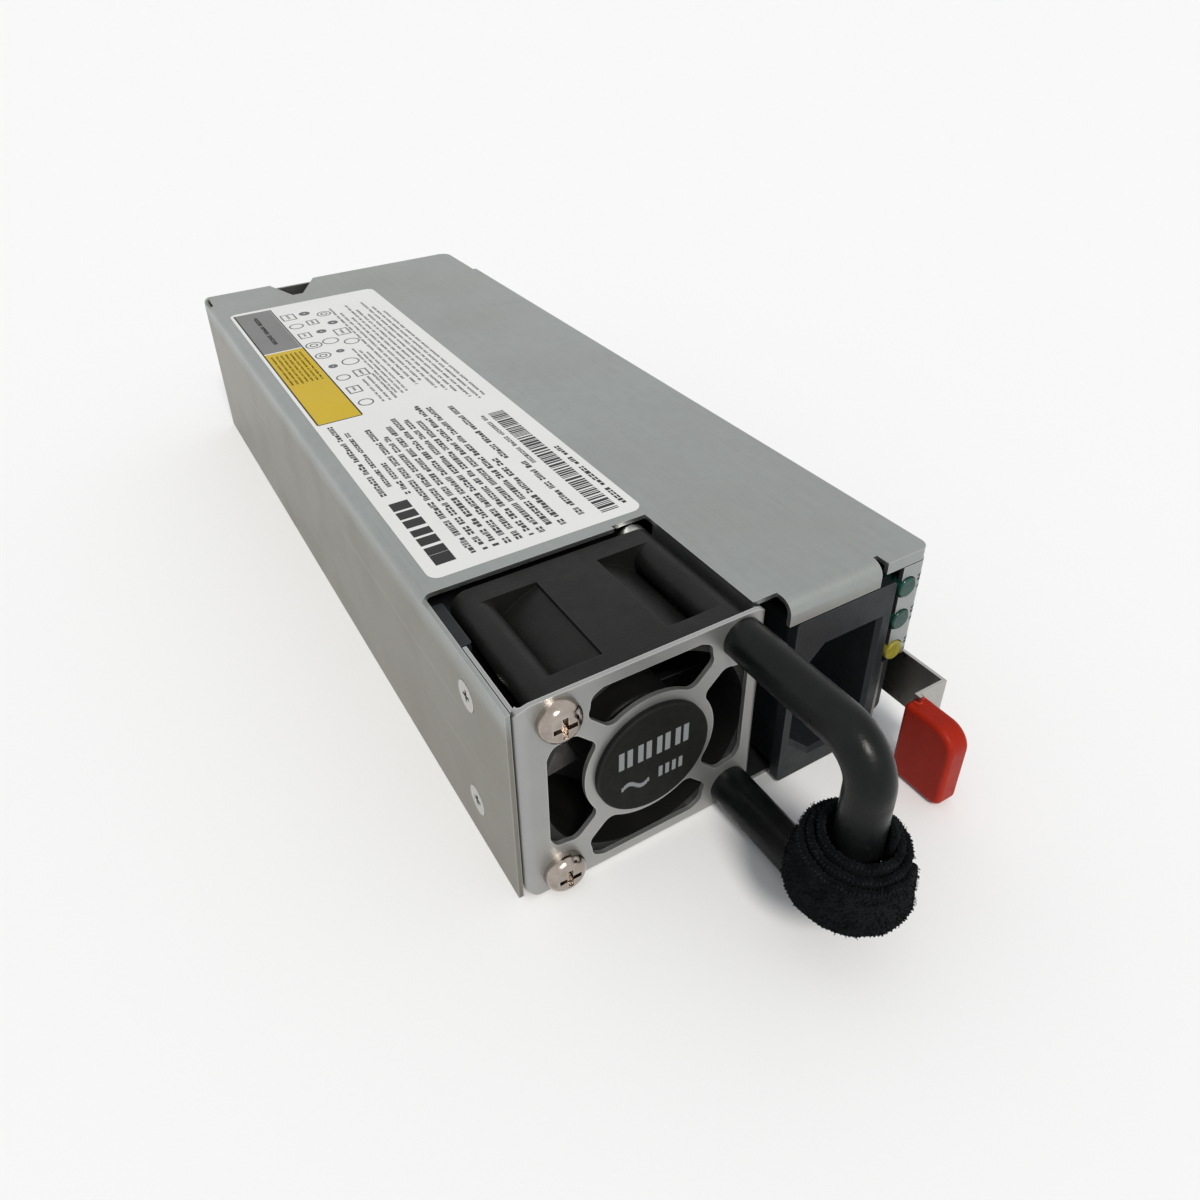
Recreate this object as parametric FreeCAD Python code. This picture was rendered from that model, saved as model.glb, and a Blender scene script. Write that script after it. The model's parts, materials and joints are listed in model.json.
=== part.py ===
"""Hot swap server power supply, one slot wide and one rack unit high.

The case is two folded sheets. The cover is the top and the left wall, the tray is the
floor, the right wall, the lamp flange and the vented rear wall. A small fan stands behind
a pierced bezel at the front left, the mains inlet is turned on its side at the front right,
and the output is a card edge at the rear. A looped handle is bolted through the fan, and a
sprung latch strip with a push tab runs along the right wall.

Millimetres. +Z is up, -Y is the front, +X is to the right when facing the front. The origin
is the centre of the case's footprint, on its underside.
"""
import FreeCAD, Part
import math
import os

V = FreeCAD.Vector

# Case
case_length = 192.0
case_height = 40.0
sheet = 0.8                 # thickness of every folded sheet
fold = 1.7                  # outer radius of a fold
seam = 0.2                  # clearance between sheets that meet
lip_height = 4.2            # tray's turned-up edge inside the left wall
wall_setback = 1.2          # left wall's front edge, behind the bezel's face
cutaway_margin = 1.0        # top cut-out runs this far past the fan
cutaway_lip = 1.3           # left wall's top edge in the cut-out, below the top
lead_notch_width = 7.0
lead_notch_depth = 0.9

# Front of the cover
face_step = 1.8             # inlet side stands this far in front of the bezel
brow_overhang = 1.8         # brow over the inlet starts this far left of the inlet
brow_width = 19.0
brow_drop = 4.4
brow_fold = 2.4
brow_relief = 1.0           # slit between the brow and the corner cap
cap_depth = 10.1            # corner cap's length along the right wall
cap_drop = 2.2
cap_corner = 2.0

# Rear of the cover
rear_notch_start = 19.0
rear_notch_mouth = 13.0
rear_notch_floor = 3.0
rear_notch_depth = 12.0
rear_corner = 3.0
rear_step_length = 20.0
rear_step_inset = 0.9
fold_slot_length = 6.5
fold_slot_back = 1.5        # fold slot's rear end, from the rear edge
fold_slot_reach = 1.3

# Fan
fan_clearance = 0.2         # fan's frame to the sheets above and below it
fan_depth = 28.0
fan_inset = 4.2             # left face of the case to the fan's frame
fan_hole_inset = 3.0        # fixing holes, from the fan's sides
fan_hole_radius = 1.7
fan_rim = 0.8               # frame left beside the bore at its thinnest
fan_duct_wall = 0.8
fan_flange = 4.0            # solid ends of the frame, in front of and behind the pockets
fan_corner = 3.0
pocket_side = 3.4           # frame left outside each pocket
pocket_width = 10.0
column_radius = 3.0
hub_radius = 8.8
hub_wall = 1.0
hub_front_gap = 2.6
hub_rear_gap = 4.6
blade_count = 7
blade_tip_gap = 0.6
blade_thickness = 0.9
blade_chord = 12.0
blade_root_pitch = 50.0     # degrees from the fan's axis
blade_tip_pitch = 62.0
magnet_wall = 0.8
stator_gap = 0.5
stator_length = 11.0
shaft_radius = 1.0
shaft_clearance = 0.03
bearing_radius = 2.6
bearing_width = 2.6
bearing_tube_wall = 0.6
motor_plate = 1.4
strut_count = 4
strut_width = 2.4
strut_angle = 22.5

# Fan bezel
bezel_gap = 0.2             # bezel's flange to the left wall
partition_gap = 1.2         # fan's frame to the partition
bezel_corner = 2.6
partition_drop = 1.6        # partition's top edge, below the top
partition_edge = 0.35       # rolled rounding of that edge
grille_reach = 0.8          # openings' outer circle, past the fan's sides
grille_inset = 1.1          # openings' flat sides, inside the fan's sides
grille_ring_inset = 7.2     # ring round the badge, from the fan's sides
grille_corner_radius = 5.4
grille_spoke = 3.0
grille_fillet = 1.8
badge_margin = 1.7          # ring of bare sheet round the badge
badge_thickness = 1.0

# Screws
pan_radius = 3.5
pan_height = 2.5
pan_shank_length = 16.0
pan_recess = (3.8, 0.9, 1.5)    # length, width and depth of the driver's cross
side_recess = (2.2, 0.6, 0.5)
side_screw_gap = 0.15       # countersink round a side screw's head
side_screw_radius = 1.4
side_screw_head = 2.6
side_screw_length = 4.0
side_screw_edge = 2.4       # side screws, from the end of the bezel's flange
side_screw_spread = 11.35   # side screws above and below the fan's axis

# Handle and its strap
handle_bar_radius = 3.5
handle_reach = 27.0         # bezel's face to the centre of the grip bar
handle_bend = 6.5
handle_screw_grip = 7.0
handle_screw_head = 3.0
handle_screw_head_height = 1.8
strap_width = 11.0
strap_thickness = 1.5
strap_gap = 0.2             # air between turns
strap_clearance = 0.8
strap_slack = (-0.3, -0.2)  # the roll hangs off the bar's centre, to the left and front
strap_half_turns = 4
strap_turn = 120.0          # where the roll's inner end lies, from the right
strap_height = 8.2          # strap's lower edge, above the case's underside
strap_tail = 2.4

# Mains inlet
fan_to_inlet = 6.6          # fan's frame to the inlet's face plate
inlet_width = 21.2
inlet_gap = 0.3             # inlet's face plate to the brow
inlet_side = 6.5            # inlet's face plate to the right face of the case
inlet_plate = 1.9
inlet_depth = 26.0
inlet_shoulder = 1.2        # body's step in from the face plate
socket_width = 16.5
socket_height = 24.0
socket_depth = 17.0
socket_chamfer = 5.0
socket_offset = 2.2         # left edge of the face plate to the socket
socket_low = 4.2
socket_lead = 0.7
blade_width = 4.0
blade_height = 2.0
blade_spacing = 7.0
blade_row_gap = 4.0
blade_recess = 5.0
blade_tail = 5.0
bracket_gap = 0.15
bracket_sheet = 0.6
bracket_height = 17.4
bracket_length = 24.0

# Lamp flange
corner_cut = 3.0            # tray's corner under the lamps, cut back from the bezel's face
lamp_edge = 5.5             # lamp flange's width, from the right face
lamp_count = 3
lamp_radius = 1.9
lamp_clearance = 0.2
lamp_inset = 4.1            # right face to the lamps' axes
lamp_top_drop = 6.8         # top of the case to the uppermost lamp's axis
lamp_over_latch = 0.35      # pressed strip to the lowest lamp's lens above it
lamp_proud = 0.4
lamp_pipe_radius = 1.2
lamp_pipe_length = 9.0
lamp_board_thickness = 1.0

# Latch
latch_strip = 0.6
latch_low = 6.3
latch_height = 11.1
latch_slot_gap = 0.4
latch_reach = 10.5          # strip's corner, in front of the bezel's face
latch_pivot_back = 56.0     # from the bezel's face
latch_joggle = 4.0
latch_joggle_back = 44.0
latch_wall_gap = 0.25
latch_root_length = 12.0
latch_root_gap = 0.3
barb_back = 13.0
barb_length = 8.0
barb_height = 1.6
tab_thickness = 4.4
tab_length = 10.5
tab_height = 15.8
tab_low = 0.3
tab_side = 4.5              # right face of the case to the tab's right face
tab_rounding = 0.9
tab_heel_corner = 1.0
tab_brow_corner = 4.0       # the thumb's side, at the top
tab_toe_corner = 1.7
tab_start = 9.6             # tab's rear edge, in front of the bezel's face
rivet_radius = 1.2
rivet_head = 2.0
rivet_head_height = 0.7
guide_width = 2.1
guide_low = 5.0
guide_length = 7.0
guide_height = 11.6
guide_corner = 1.6

# Boards
board = 1.6
board_height = 4.0          # underside of the main board, above the case's underside
board_margin = 2.2          # main board to the side walls
board_to_fan = 4.2
board_end = 9.0             # main board's rear edge, from the rear wall's face
liner = 0.25
standoff_radius = 2.4
board_screw_radius = 1.2
board_screw_head = 2.2
board_screw_head_height = 1.4
edge_card_width = 52.0
edge_card_depth = 26.0
edge_card_reach = 8.5       # card edge, behind the rear wall
edge_card_height = 12.0
edge_contact_count = 12
edge_contact_width = 2.6
edge_contact_pitch = 4.0
edge_contact_length = 7.0
edge_contact_thickness = 0.1
edge_key_width = 1.6
lead = 0.5                  # radius of a lead wire

# Rear wall
vent_side = 3.2
vent_pitch = 4.6
vent_rows = 3
vent_columns = 13

# Parts on the main board: footprints and heights
bulk_radius = 12.5
bulk_length = 44.0
sink_length = 52.0
sink_base = 3.0
sink_height = 27.0
sink_fin = 1.0
sink_fin_count = 6
sink_fin_reach = 7.0
transistor_width = 15.0
transistor_height = 20.0
transistor_thickness = 4.6
transistor_count = 3
core_width = 28.0
core_length = 24.0
core_height = 25.0
core_leg = 5.5
winding_radius = 9.0
choke_radius = 12.0
choke_bore = 5.0
choke_width = 11.0
filter_radius = 10.0
filter_bore = 4.0
filter_width = 9.0
film_length = 16.0
film_width = 7.0
film_height = 13.0
output_can_radius = 4.0
output_can_length = 18.0
output_can_count = 5
output_can_pitch = 9.0
relay_length = 14.0
relay_width = 9.0
relay_height = 11.0
fuse_radius = 2.6
fuse_length = 16.0
plug_width = 7.0
plug_length = 3.0
plug_height = 7.0
plug_overhang = 2.4         # plug's front, ahead of the main board's edge
control_length = 44.0
control_height = 22.0
chip_length = 9.0
chip_width = 6.0
chip_height = 1.4
rectifier_width = 20.0
rectifier_height = 16.0
rectifier_thickness = 3.6

# Rating label
label_width = 40.5
label_length = 140.0
label_inset = 2.9
label_gap = 2.8             # top cut-out to the label
label_thickness = 0.12
label_corner = 2.0

# Clip that keeps the fan lead against the left wall
clip_width = 2.2
clip_length = 11.0
clip_height = 15.0
clip_rise = 0.6             # clip's top, below the left wall's lip
clip_gap = 0.6              # bezel's flange to the clip

# Places that follow from the sizes
fan_size = case_height - 2 * (sheet + fan_clearance)
fan_hole_pitch = fan_size - 2 * fan_hole_inset
fan_bore_radius = fan_size / 2 - fan_rim
inlet_start = fan_inset + fan_size + fan_to_inlet
case_width = inlet_start + inlet_width + inlet_side
left = -case_width / 2
right = case_width / 2
front = -case_length / 2
rear = case_length / 2
face = front - face_step
fan_x = left + fan_inset + fan_size / 2
fan_z = case_height / 2
fan_front = front + sheet
fan_rear = fan_front + fan_depth
cutaway_right = fan_x + fan_size / 2 + seam
cutaway_rear = fan_rear + cutaway_margin
bezel_left = left + sheet + bezel_gap
bezel_right = fan_x + fan_size / 2 + partition_gap + sheet
hole_offset = fan_hole_pitch / 2
grille_ring_radius = fan_size / 2 - grille_ring_inset
badge_radius = grille_ring_radius - badge_margin
bezel_flange_length = sheet + fan_depth - clip_length - clip_gap
side_screw_back = bezel_flange_length - side_screw_edge
handle_x = fan_x + hole_offset
grip_y = front - handle_reach
inlet_left = left + inlet_start
inlet_right = inlet_left + inlet_width
inlet_low = seam
inlet_height = case_height - brow_drop - inlet_gap
brow_left = inlet_left - brow_overhang
socket_left = inlet_left + socket_offset
socket_x = socket_left + socket_width / 2
socket_z = socket_low + socket_height / 2
lamp_x = right - lamp_inset
latch_top = latch_low + latch_height
slot_top = latch_top + latch_slot_gap
lamp_low = latch_top + lamp_radius + lamp_over_latch
lamp_pitch = (case_height - lamp_top_drop - lamp_low) / (lamp_count - 1)
pivot_y = front + latch_pivot_back
board_top = board_height + board
board_front = fan_rear + board_to_fan
board_rear = rear - board_end
floor_top = sheet
inside_left = left + sheet
inside_right = right - sheet
inside_top = case_height - sheet
reach = 2 * case_height     # how far a cutting tool runs past what it cuts


def box(x0, x1, y0, y1, z0, z1):
    """Block between two corners."""
    return Part.makeBox(x1 - x0, y1 - y0, z1 - z0, V(x0, y0, z0))


def rod(radius, start, direction, length):
    """Round bar from a start point."""
    return Part.makeCylinder(radius, length, V(*start), V(*direction))


def ring(outer, inner, start, direction, length):
    """Round tube from a start point."""
    return rod(outer, start, direction, length).cut(rod(inner, start, direction, length))


def cone(r0, r1, start, direction, height):
    """Cone or taper from a start point."""
    return Part.makeCone(r0, r1, height, V(*start), V(*direction))


def fuse(shapes):
    """One solid out of shapes that touch."""
    joined = shapes[0]
    if len(shapes) > 1:
        joined = joined.multiFuse(shapes[1:])
    return joined.removeSplitter()


def edges_along(shape, axis, keep=None):
    """Straight edges parallel to an axis, 0 for X, 1 for Y and 2 for Z."""
    chosen = []
    for edge in shape.Edges:
        if edge.Curve.TypeId != "Part::GeomLine":
            continue
        run = edge.Vertexes[-1].Point - edge.Vertexes[0].Point
        if abs(abs(run[axis]) - run.Length) > 1e-6:
            continue
        if keep is None or keep(edge.CenterOfMass):
            chosen.append(edge)
    return chosen


def rounded(shape, radius, axis, keep=None):
    """Shape with its edges along an axis filleted."""
    return shape.makeFillet(radius, edges_along(shape, axis, keep))


def prism(points, z0, height):
    """Upright prism on a closed outline of (x, y) points."""
    corners = [V(x, y, z0) for x, y in points]
    corners.append(corners[0])
    return Part.Face(Part.makePolygon(corners)).extrude(V(0, 0, height))


def thick_path(points, thickness):
    """Closed outline of a strip that lies to the left of an open path of (x, y) points."""
    normals = []
    for (x0, y0), (x1, y1) in zip(points, points[1:]):
        length = math.hypot(x1 - x0, y1 - y0)
        normals.append(((y0 - y1) / length, (x1 - x0) / length))
    side = []
    for index, (x, y) in enumerate(points):
        before = normals[max(index - 1, 0)]
        after = normals[min(index, len(normals) - 1)]
        scale = thickness / (1 + before[0] * after[0] + before[1] * after[1])
        side.append((x + (before[0] + after[0]) * scale, y + (before[1] + after[1]) * scale))
    return points + side[::-1]


def cross_recess(point, direction_axis, sign, size):
    """Cross-shaped driver recess, sunk into a head along an axis."""
    x, y, z = point
    length, width, sunk = size
    arms = []
    for long_side in (0, 1):
        half = [length / 2, width / 2]
        a, b = half[long_side], half[1 - long_side]
        spans = {0: (-a, a), 1: (-b, b)}
        others = [axis for axis in (0, 1, 2) if axis != direction_axis]
        low = [x, y, z]
        high = [x, y, z]
        for slot, axis in enumerate(others):
            low[axis] += spans[slot][0]
            high[axis] += spans[slot][1]
        depth = sorted((-sign * sunk, sign * sunk))
        low[direction_axis] += depth[0]
        high[direction_axis] += depth[1]
        arms.append(box(low[0], high[0], low[1], high[1], low[2], high[2]))
    return arms


# ---------------------------------------------------------------- case

def cover_shell():
    """Top sheet folded down into the left wall."""
    y0 = front + wall_setback
    outer = box(left, right, y0, rear, 0, case_height)
    outer = rounded(outer, fold, 1, lambda c: c.x < 0 and c.z > fan_z)
    inner = box(inside_left, right + reach, y0 - reach, rear + reach, -reach, inside_top)
    inner = rounded(inner, fold - sheet, 1, lambda c: c.x < 0 and c.z > fan_z)
    return outer.cut(inner)


def cover_brow():
    """Rounded fold of the top sheet that hangs over the inlet."""
    x0 = brow_left
    x1 = x0 + brow_width
    y1 = front + 2 * brow_fold
    outer = box(x0, x1, face, y1, case_height - brow_drop, case_height)
    outer = rounded(outer, brow_fold, 0, lambda c: c.y < front and c.z > inside_top)
    inner = box(x0 - reach, x1 + reach, face + sheet, y1 + reach, -reach, inside_top)
    inner = rounded(inner, brow_fold - sheet, 0, lambda c: c.y < front and c.z > fan_z)
    return outer.cut(inner)


def cover_cap():
    """Front right corner of the top sheet, folded over both the front and the side."""
    x0 = brow_left + brow_width + brow_relief
    y1 = face + cap_depth
    outer = box(x0, right, face, y1, case_height - cap_drop, case_height)
    outer = rounded(outer, cap_corner, 2, lambda c: c.x > right - sheet and c.y < front)
    inner = box(x0 - reach, inside_right, face + sheet, y1 + reach, -reach, inside_top)
    inner = rounded(inner, cap_corner - sheet, 2, lambda c: c.x > 0 and c.y < front)
    return outer.cut(inner)


def cover_front_strip():
    """Flat part of the top sheet between the brow, the cap and the main plate."""
    x0 = brow_left
    y0 = face + brow_fold
    y1 = front + wall_setback + sheet
    plate = box(x0, right - cap_corner, y0, y1, inside_top, case_height)
    slit = box(x0 + brow_width, x0 + brow_width + brow_relief, y0 - reach, front + sheet,
               0, reach)
    return plate.cut(slit)


def rear_notch():
    """Prism of the notch with sloping sides in the cover's rear edge."""
    x0 = left + rear_notch_start
    x1 = x0 + rear_notch_mouth
    middle = (x0 + x1) / 2 - rear_notch_floor / 2
    y0 = rear - rear_notch_depth
    outline = [(x0, rear), (middle - rear_notch_floor / 2, y0),
               (middle + rear_notch_floor / 2, y0), (x1, rear),
               (x1, rear + sheet), (x0, rear + sheet)]
    return prism(outline, inside_top - sheet, 3 * sheet)


def side_screw_points():
    """Axis points of the two flush screws through the left wall."""
    y = front + side_screw_back
    return [(left, y, fan_z + s * side_screw_spread) for s in (-1, 1)]


def top_cover():
    """Cover: top sheet, left wall, brow, corner cap and their cut-outs."""
    shell = cover_shell()
    lip_z = case_height - cutaway_lip
    tools = [box(left - reach, cutaway_right, front - reach, cutaway_rear, lip_z, reach)]
    tools.append(box(cutaway_right - lead_notch_width, cutaway_right, cutaway_rear - sheet,
                     cutaway_rear + lead_notch_depth, inside_top - sheet, reach))
    tools.append(box(cutaway_right - sheet, brow_left, front - reach,
                     front + 2 * sheet + seam, inside_top - sheet, reach))
    tools.append(rear_notch())
    slot_rear = rear - fold_slot_back
    tools.append(box(left - sheet, left + fold_slot_reach, slot_rear - fold_slot_length,
                     slot_rear, case_height - fold_slot_reach, reach))
    step = box(right - rear_step_inset, right + sheet, rear - rear_step_length,
               rear + sheet, inside_top - sheet, reach)
    tools.append(step)
    for x, y, z in side_screw_points():
        tools.append(cone(side_screw_head + side_screw_gap,
                          side_screw_radius + side_screw_gap, (x, y, z), (1, 0, 0), sheet))
    shell = shell.cut(tools)
    shell = rounded(shell, rear_corner, 2, lambda c: c.x > 0 and c.y > rear - sheet)
    return fuse([shell, cover_front_strip(), cover_brow(), cover_cap()])


def tray_fold():
    """Floor folded up into the right wall and into a low lip at the left."""
    x0 = inside_left + seam
    y0 = front + sheet + seam
    wall_top = inside_top - seam
    outer = box(x0, right, y0, rear, 0, wall_top)
    outer = rounded(outer, fold, 1, lambda c: c.z < sheet)
    inner = box(x0 + sheet, inside_right, y0 - reach, rear + reach, floor_top, reach)
    inner = rounded(inner, fold - sheet, 1, lambda c: c.z < floor_top + sheet)
    above_lip = box(x0 - reach, x0 + 2 * sheet, y0 - reach, rear + reach, lip_height, reach)
    before_lip = box(x0 - reach, bezel_left + sheet + fold, y0 - reach,
                     front + bezel_flange_length + seam, -sheet, reach)
    return outer.cut([inner, above_lip, before_lip])


def lamp_points():
    """Centres of the lamps on the lamp flange's face, from the top down."""
    top = case_height - lamp_top_drop
    return [(lamp_x, face, top - n * lamp_pitch) for n in range(lamp_count)]


def lamp_flange():
    """Front end of the right wall, folded across, scalloped round the lamps and open
    from the lowest one down to the latch's slot."""
    wall_top = case_height - cap_drop - seam
    y1 = front + sheet + seam
    outer = box(right - lamp_edge, right, face, y1, slot_top, wall_top)
    outer = rounded(outer, fold, 2, lambda c: c.x > right - sheet and c.y < front)
    inner = box(right - lamp_edge - reach, inside_right, face + sheet, y1 + reach,
                -reach, reach)
    inner = rounded(inner, fold - sheet, 2, lambda c: c.x > 0 and c.y < front)
    hole = lamp_radius + lamp_clearance
    holes = [rod(hole, (x, y - sheet, z), (0, 1, 0), 3 * sheet) for x, y, z in lamp_points()]
    x, y, z = lamp_points()[-1]
    holes.append(box(x - hole, x + hole, y - sheet, y + 2 * sheet, slot_top - seam, z))
    return outer.cut([inner] + holes)


def rear_wall():
    """Rear wall with rows of square vents and the slot for the card edge."""
    x0 = inside_left + seam
    wall = box(x0, inside_right, rear - sheet, rear, floor_top, inside_top - seam)
    holes = []
    vent_x = -(vent_columns - 1) / 2 * vent_pitch
    for column in range(vent_columns):
        for row in range(vent_rows):
            x = vent_x + column * vent_pitch
            z = edge_card_height + 2 * vent_pitch + row * vent_pitch
            holes.append(box(x - vent_side / 2, x + vent_side / 2, rear - 2 * sheet,
                             rear + sheet, z - vent_side / 2, z + vent_side / 2))
    slot_half = edge_card_width / 2 + 2 * seam
    holes.append(box(-slot_half, slot_half, rear - 2 * sheet, rear + sheet,
                     edge_card_height - 2 * board, edge_card_height + 3 * board))
    return wall.cut(holes)


def standoff_points():
    """Places of the four standoffs that carry the main board."""
    inset = standoff_radius + sheet
    xs = (inside_left + board_margin + inset, inside_right - board_margin - inset)
    ys = (board_front + inset, board_rear - inset)
    return [(x, y) for x in xs for y in ys]


def chassis_tray():
    """Tray: floor, right wall, lamp flange and vented rear wall."""
    fold_up = tray_fold()
    cap_top = case_height - cap_drop - seam
    tools = [box(inside_right - sheet, right + sheet, front - reach,
                 face + cap_depth + seam, cap_top, reach)]
    tools.append(box(inside_right - sheet, right + sheet, front - reach,
                     front + latch_joggle_back, latch_low - latch_slot_gap, slot_top))
    tools.append(box(inlet_right + bracket_gap, right + sheet, front - reach,
                     front + corner_cut, -sheet, slot_top))
    for y in rivet_rows():
        tools.append(rod(rivet_radius, (inside_right - sheet, y, latch_middle()),
                         (1, 0, 0), 3 * sheet))
    return fuse([fold_up.cut(tools), lamp_flange(), rear_wall()])


def latch_middle():
    """Height of the latch strip's centre line."""
    return latch_low + latch_height / 2


def rivet_rows():
    """Positions along the wall of the rivets in the latch's root."""
    root_front = pivot_y + latch_root_gap
    return [root_front + latch_root_length * share for share in (0.3, 0.75)]


# ---------------------------------------------------------------- bezel

def grille_openings():
    """Four openings between the ring, the spokes and the corners, with rounded ends."""
    start = (fan_x, front - sheet, fan_z)
    depth = 3 * sheet
    area = rod(fan_size / 2 + grille_reach, start, (0, 1, 0), depth)
    half = fan_size / 2 - grille_inset
    area = area.common(box(fan_x - half, fan_x + half, front - sheet,
                           front + 2 * sheet, fan_z - half, fan_z + half))
    keep = [rod(grille_ring_radius, start, (0, 1, 0), depth)]
    for sx in (-1, 1):
        for sz in (-1, 1):
            corner = (fan_x + sx * hole_offset, front - sheet, fan_z + sz * hole_offset)
            keep.append(rod(grille_corner_radius, corner, (0, 1, 0), depth))
    for angle in (45, 135):
        spoke = box(fan_x - fan_size, fan_x + fan_size, front - sheet, front + 2 * sheet,
                    fan_z - grille_spoke / 2, fan_z + grille_spoke / 2)
        spoke.rotate(V(fan_x, 0, fan_z), V(0, 1, 0), angle)
        keep.append(spoke)
    openings = area.cut(keep)
    return [rounded(solid, grille_fillet, 1) for solid in openings.Solids]


def fan_bezel():
    """Front plate over the fan, folded back along the left wall and as a partition."""
    partition_rear = cutaway_rear
    outer = box(bezel_left, bezel_right, front, partition_rear, seam, case_height)
    outer = rounded(outer, fold, 2, lambda c: c.y < fan_front)
    inner = box(bezel_left + sheet, bezel_right - sheet, fan_front, partition_rear + reach,
                -reach, reach)
    inner = rounded(inner, fold - sheet, 2, lambda c: c.y < fan_front + sheet)
    shell = outer.cut(inner)
    outline = box(bezel_left, bezel_right, front - sheet, partition_rear + sheet,
                  seam, case_height)
    outline = rounded(outline, bezel_corner, 1)
    shell = shell.common(outline)
    behind = fan_front + seam
    tools = [box(left, bezel_right + sheet, behind, partition_rear + sheet, -reach,
                 floor_top + seam / 2)]
    tools.append(box(left, bezel_right + sheet, behind + sheet, partition_rear + sheet,
                     case_height - partition_drop, reach))
    tools.append(box(left, fan_x, front + bezel_flange_length, partition_rear + sheet,
                     -reach, reach))
    for x, y, z in side_screw_points():
        tools.append(rod(side_screw_radius, (x, y, z), (1, 0, 0), side_screw_length))
    for sx in (-1, 1):
        for sz in (-1, 1):
            hole = (fan_x + sx * hole_offset, front - sheet, fan_z + sz * hole_offset)
            tools.append(rod(fan_hole_radius, hole, (0, 1, 0), 3 * sheet))
    plate = shell.cut(tools + grille_openings())
    top = case_height - partition_drop
    return rounded(plate, partition_edge, 1,
                   lambda c: c.x > fan_x and abs(c.z - top) < seam)


def hub_badge():
    """Plain round badge on the middle of the grille."""
    disc = rod(badge_radius, (fan_x, front, fan_z), (0, -1, 0), badge_thickness)
    rim = [edge for edge in disc.Edges if abs(edge.CenterOfMass.y - front) > seam]
    return disc.makeFillet(badge_thickness / 3, [rim[0]])


# ---------------------------------------------------------------- fan

def frame_pockets():
    """Open pockets in the four sides of the fan's frame, outside the round duct."""
    half = fan_size / 2
    y0 = fan_front + fan_flange
    y1 = fan_rear - fan_flange
    near = half - pocket_side
    far = near - pocket_width
    pockets = []
    for sign in (-1, 1):
        xs = sorted((fan_x + sign * near, fan_x + sign * far))
        zs = sorted((fan_z + sign * near, fan_z + sign * far))
        pockets.append(box(xs[0], xs[1], y0, y1, fan_z, fan_z + half + sheet))
        pockets.append(box(xs[0], xs[1], y0, y1, fan_z - half - sheet, fan_z))
        pockets.append(box(fan_x, fan_x + half + sheet, y0, y1, zs[0], zs[1]))
        pockets.append(box(fan_x - half - sheet, fan_x, y0, y1, zs[0], zs[1]))
    return pockets


def frame_columns():
    """Round columns that the fan's fixing holes run through."""
    columns = []
    for sx in (-1, 1):
        for sz in (-1, 1):
            foot = (fan_x + sx * hole_offset, fan_front, fan_z + sz * hole_offset)
            columns.append(rod(column_radius, foot, (0, 1, 0), fan_depth))
    return columns


def fan_struts():
    """Struts across the duct's rear end that carry the motor plate."""
    y0 = fan_rear - motor_plate
    struts = []
    for n in range(strut_count):
        strut = box(fan_x, fan_x + fan_bore_radius + fan_duct_wall / 2, y0, fan_rear,
                    fan_z - strut_width / 2, fan_z + strut_width / 2)
        strut.rotate(V(fan_x, 0, fan_z), V(0, 1, 0), strut_angle + n * 360 / strut_count)
        struts.append(strut)
    return struts


def fan_frame():
    """Fan frame: square ends, round duct, side pockets, columns, struts and motor plate."""
    half = fan_size / 2
    block = box(fan_x - half, fan_x + half, fan_front, fan_rear, fan_z - half, fan_z + half)
    block = rounded(block, fan_corner, 1)
    duct_start = (fan_x, fan_front, fan_z)
    duct = rod(fan_bore_radius + fan_duct_wall, duct_start, (0, 1, 0), fan_depth)
    pockets = frame_pockets()[0].fuse(frame_pockets()[1:])
    pockets = pockets.cut([duct] + frame_columns())
    body = block.cut([pockets, rod(fan_bore_radius, duct_start, (0, 1, 0), fan_depth)])
    plate_y = fan_rear - motor_plate
    plate = rod(hub_radius, (fan_x, plate_y, fan_z), (0, 1, 0), motor_plate)
    tube_length = stator_length + 2 * sheet
    tube = rod(bearing_radius + bearing_tube_wall, (fan_x, plate_y - tube_length, fan_z),
               (0, 1, 0), tube_length)
    whole = fuse([body, plate, tube] + fan_struts())
    holes = [rod(bearing_radius, (fan_x, fan_front, fan_z), (0, 1, 0), fan_depth - sheet)]
    for sx in (-1, 1):
        for sz in (-1, 1):
            foot = (fan_x + sx * hole_offset, fan_front, fan_z + sz * hole_offset)
            holes.append(rod(fan_hole_radius, foot, (0, 1, 0), fan_depth))
    return whole.cut(holes)


def blade_section(radius, pitch):
    """Closed outline of a blade at one radius, curved like a thin wing."""
    rise = blade_chord * 0.09
    half = blade_chord / 2
    upper = Part.Arc(V(-half, rise / 9, 0), V(0, rise + blade_thickness, 0),
                     V(half, rise / 9, 0)).toShape()
    lower = Part.Arc(V(half, -rise / 9, 0), V(0, rise, 0), V(-half, -rise / 9, 0)).toShape()
    ends = [Part.makeLine(V(half, rise / 9, 0), V(half, -rise / 9, 0)),
            Part.makeLine(V(-half, -rise / 9, 0), V(-half, rise / 9, 0))]
    wire = Part.Wire([upper, ends[0], lower, ends[1]])
    wire.rotate(V(0, 0, 0), V(0, 0, 1), 90 - pitch)
    wire.translate(V(0, 0, radius))
    return wire


def fan_blade():
    """One twisted blade, along the fan's own upward direction."""
    tip = fan_bore_radius - blade_tip_gap
    half_swing = blade_chord / 2 * math.sin(math.radians(blade_tip_pitch))
    tip_plane = math.sqrt(tip * tip - half_swing * half_swing)
    root_plane = hub_radius - 2 * hub_wall
    middle = (root_plane + tip_plane) / 2
    middle_pitch = (blade_root_pitch + blade_tip_pitch) / 2
    sections = [blade_section(root_plane, blade_root_pitch),
                blade_section(middle, middle_pitch),
                blade_section(tip_plane, blade_tip_pitch)]
    return Part.makeLoft(sections, True)


def hub_span():
    """Front and rear ends of the fan's hub."""
    return fan_front + hub_front_gap, fan_rear - hub_rear_gap


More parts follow.
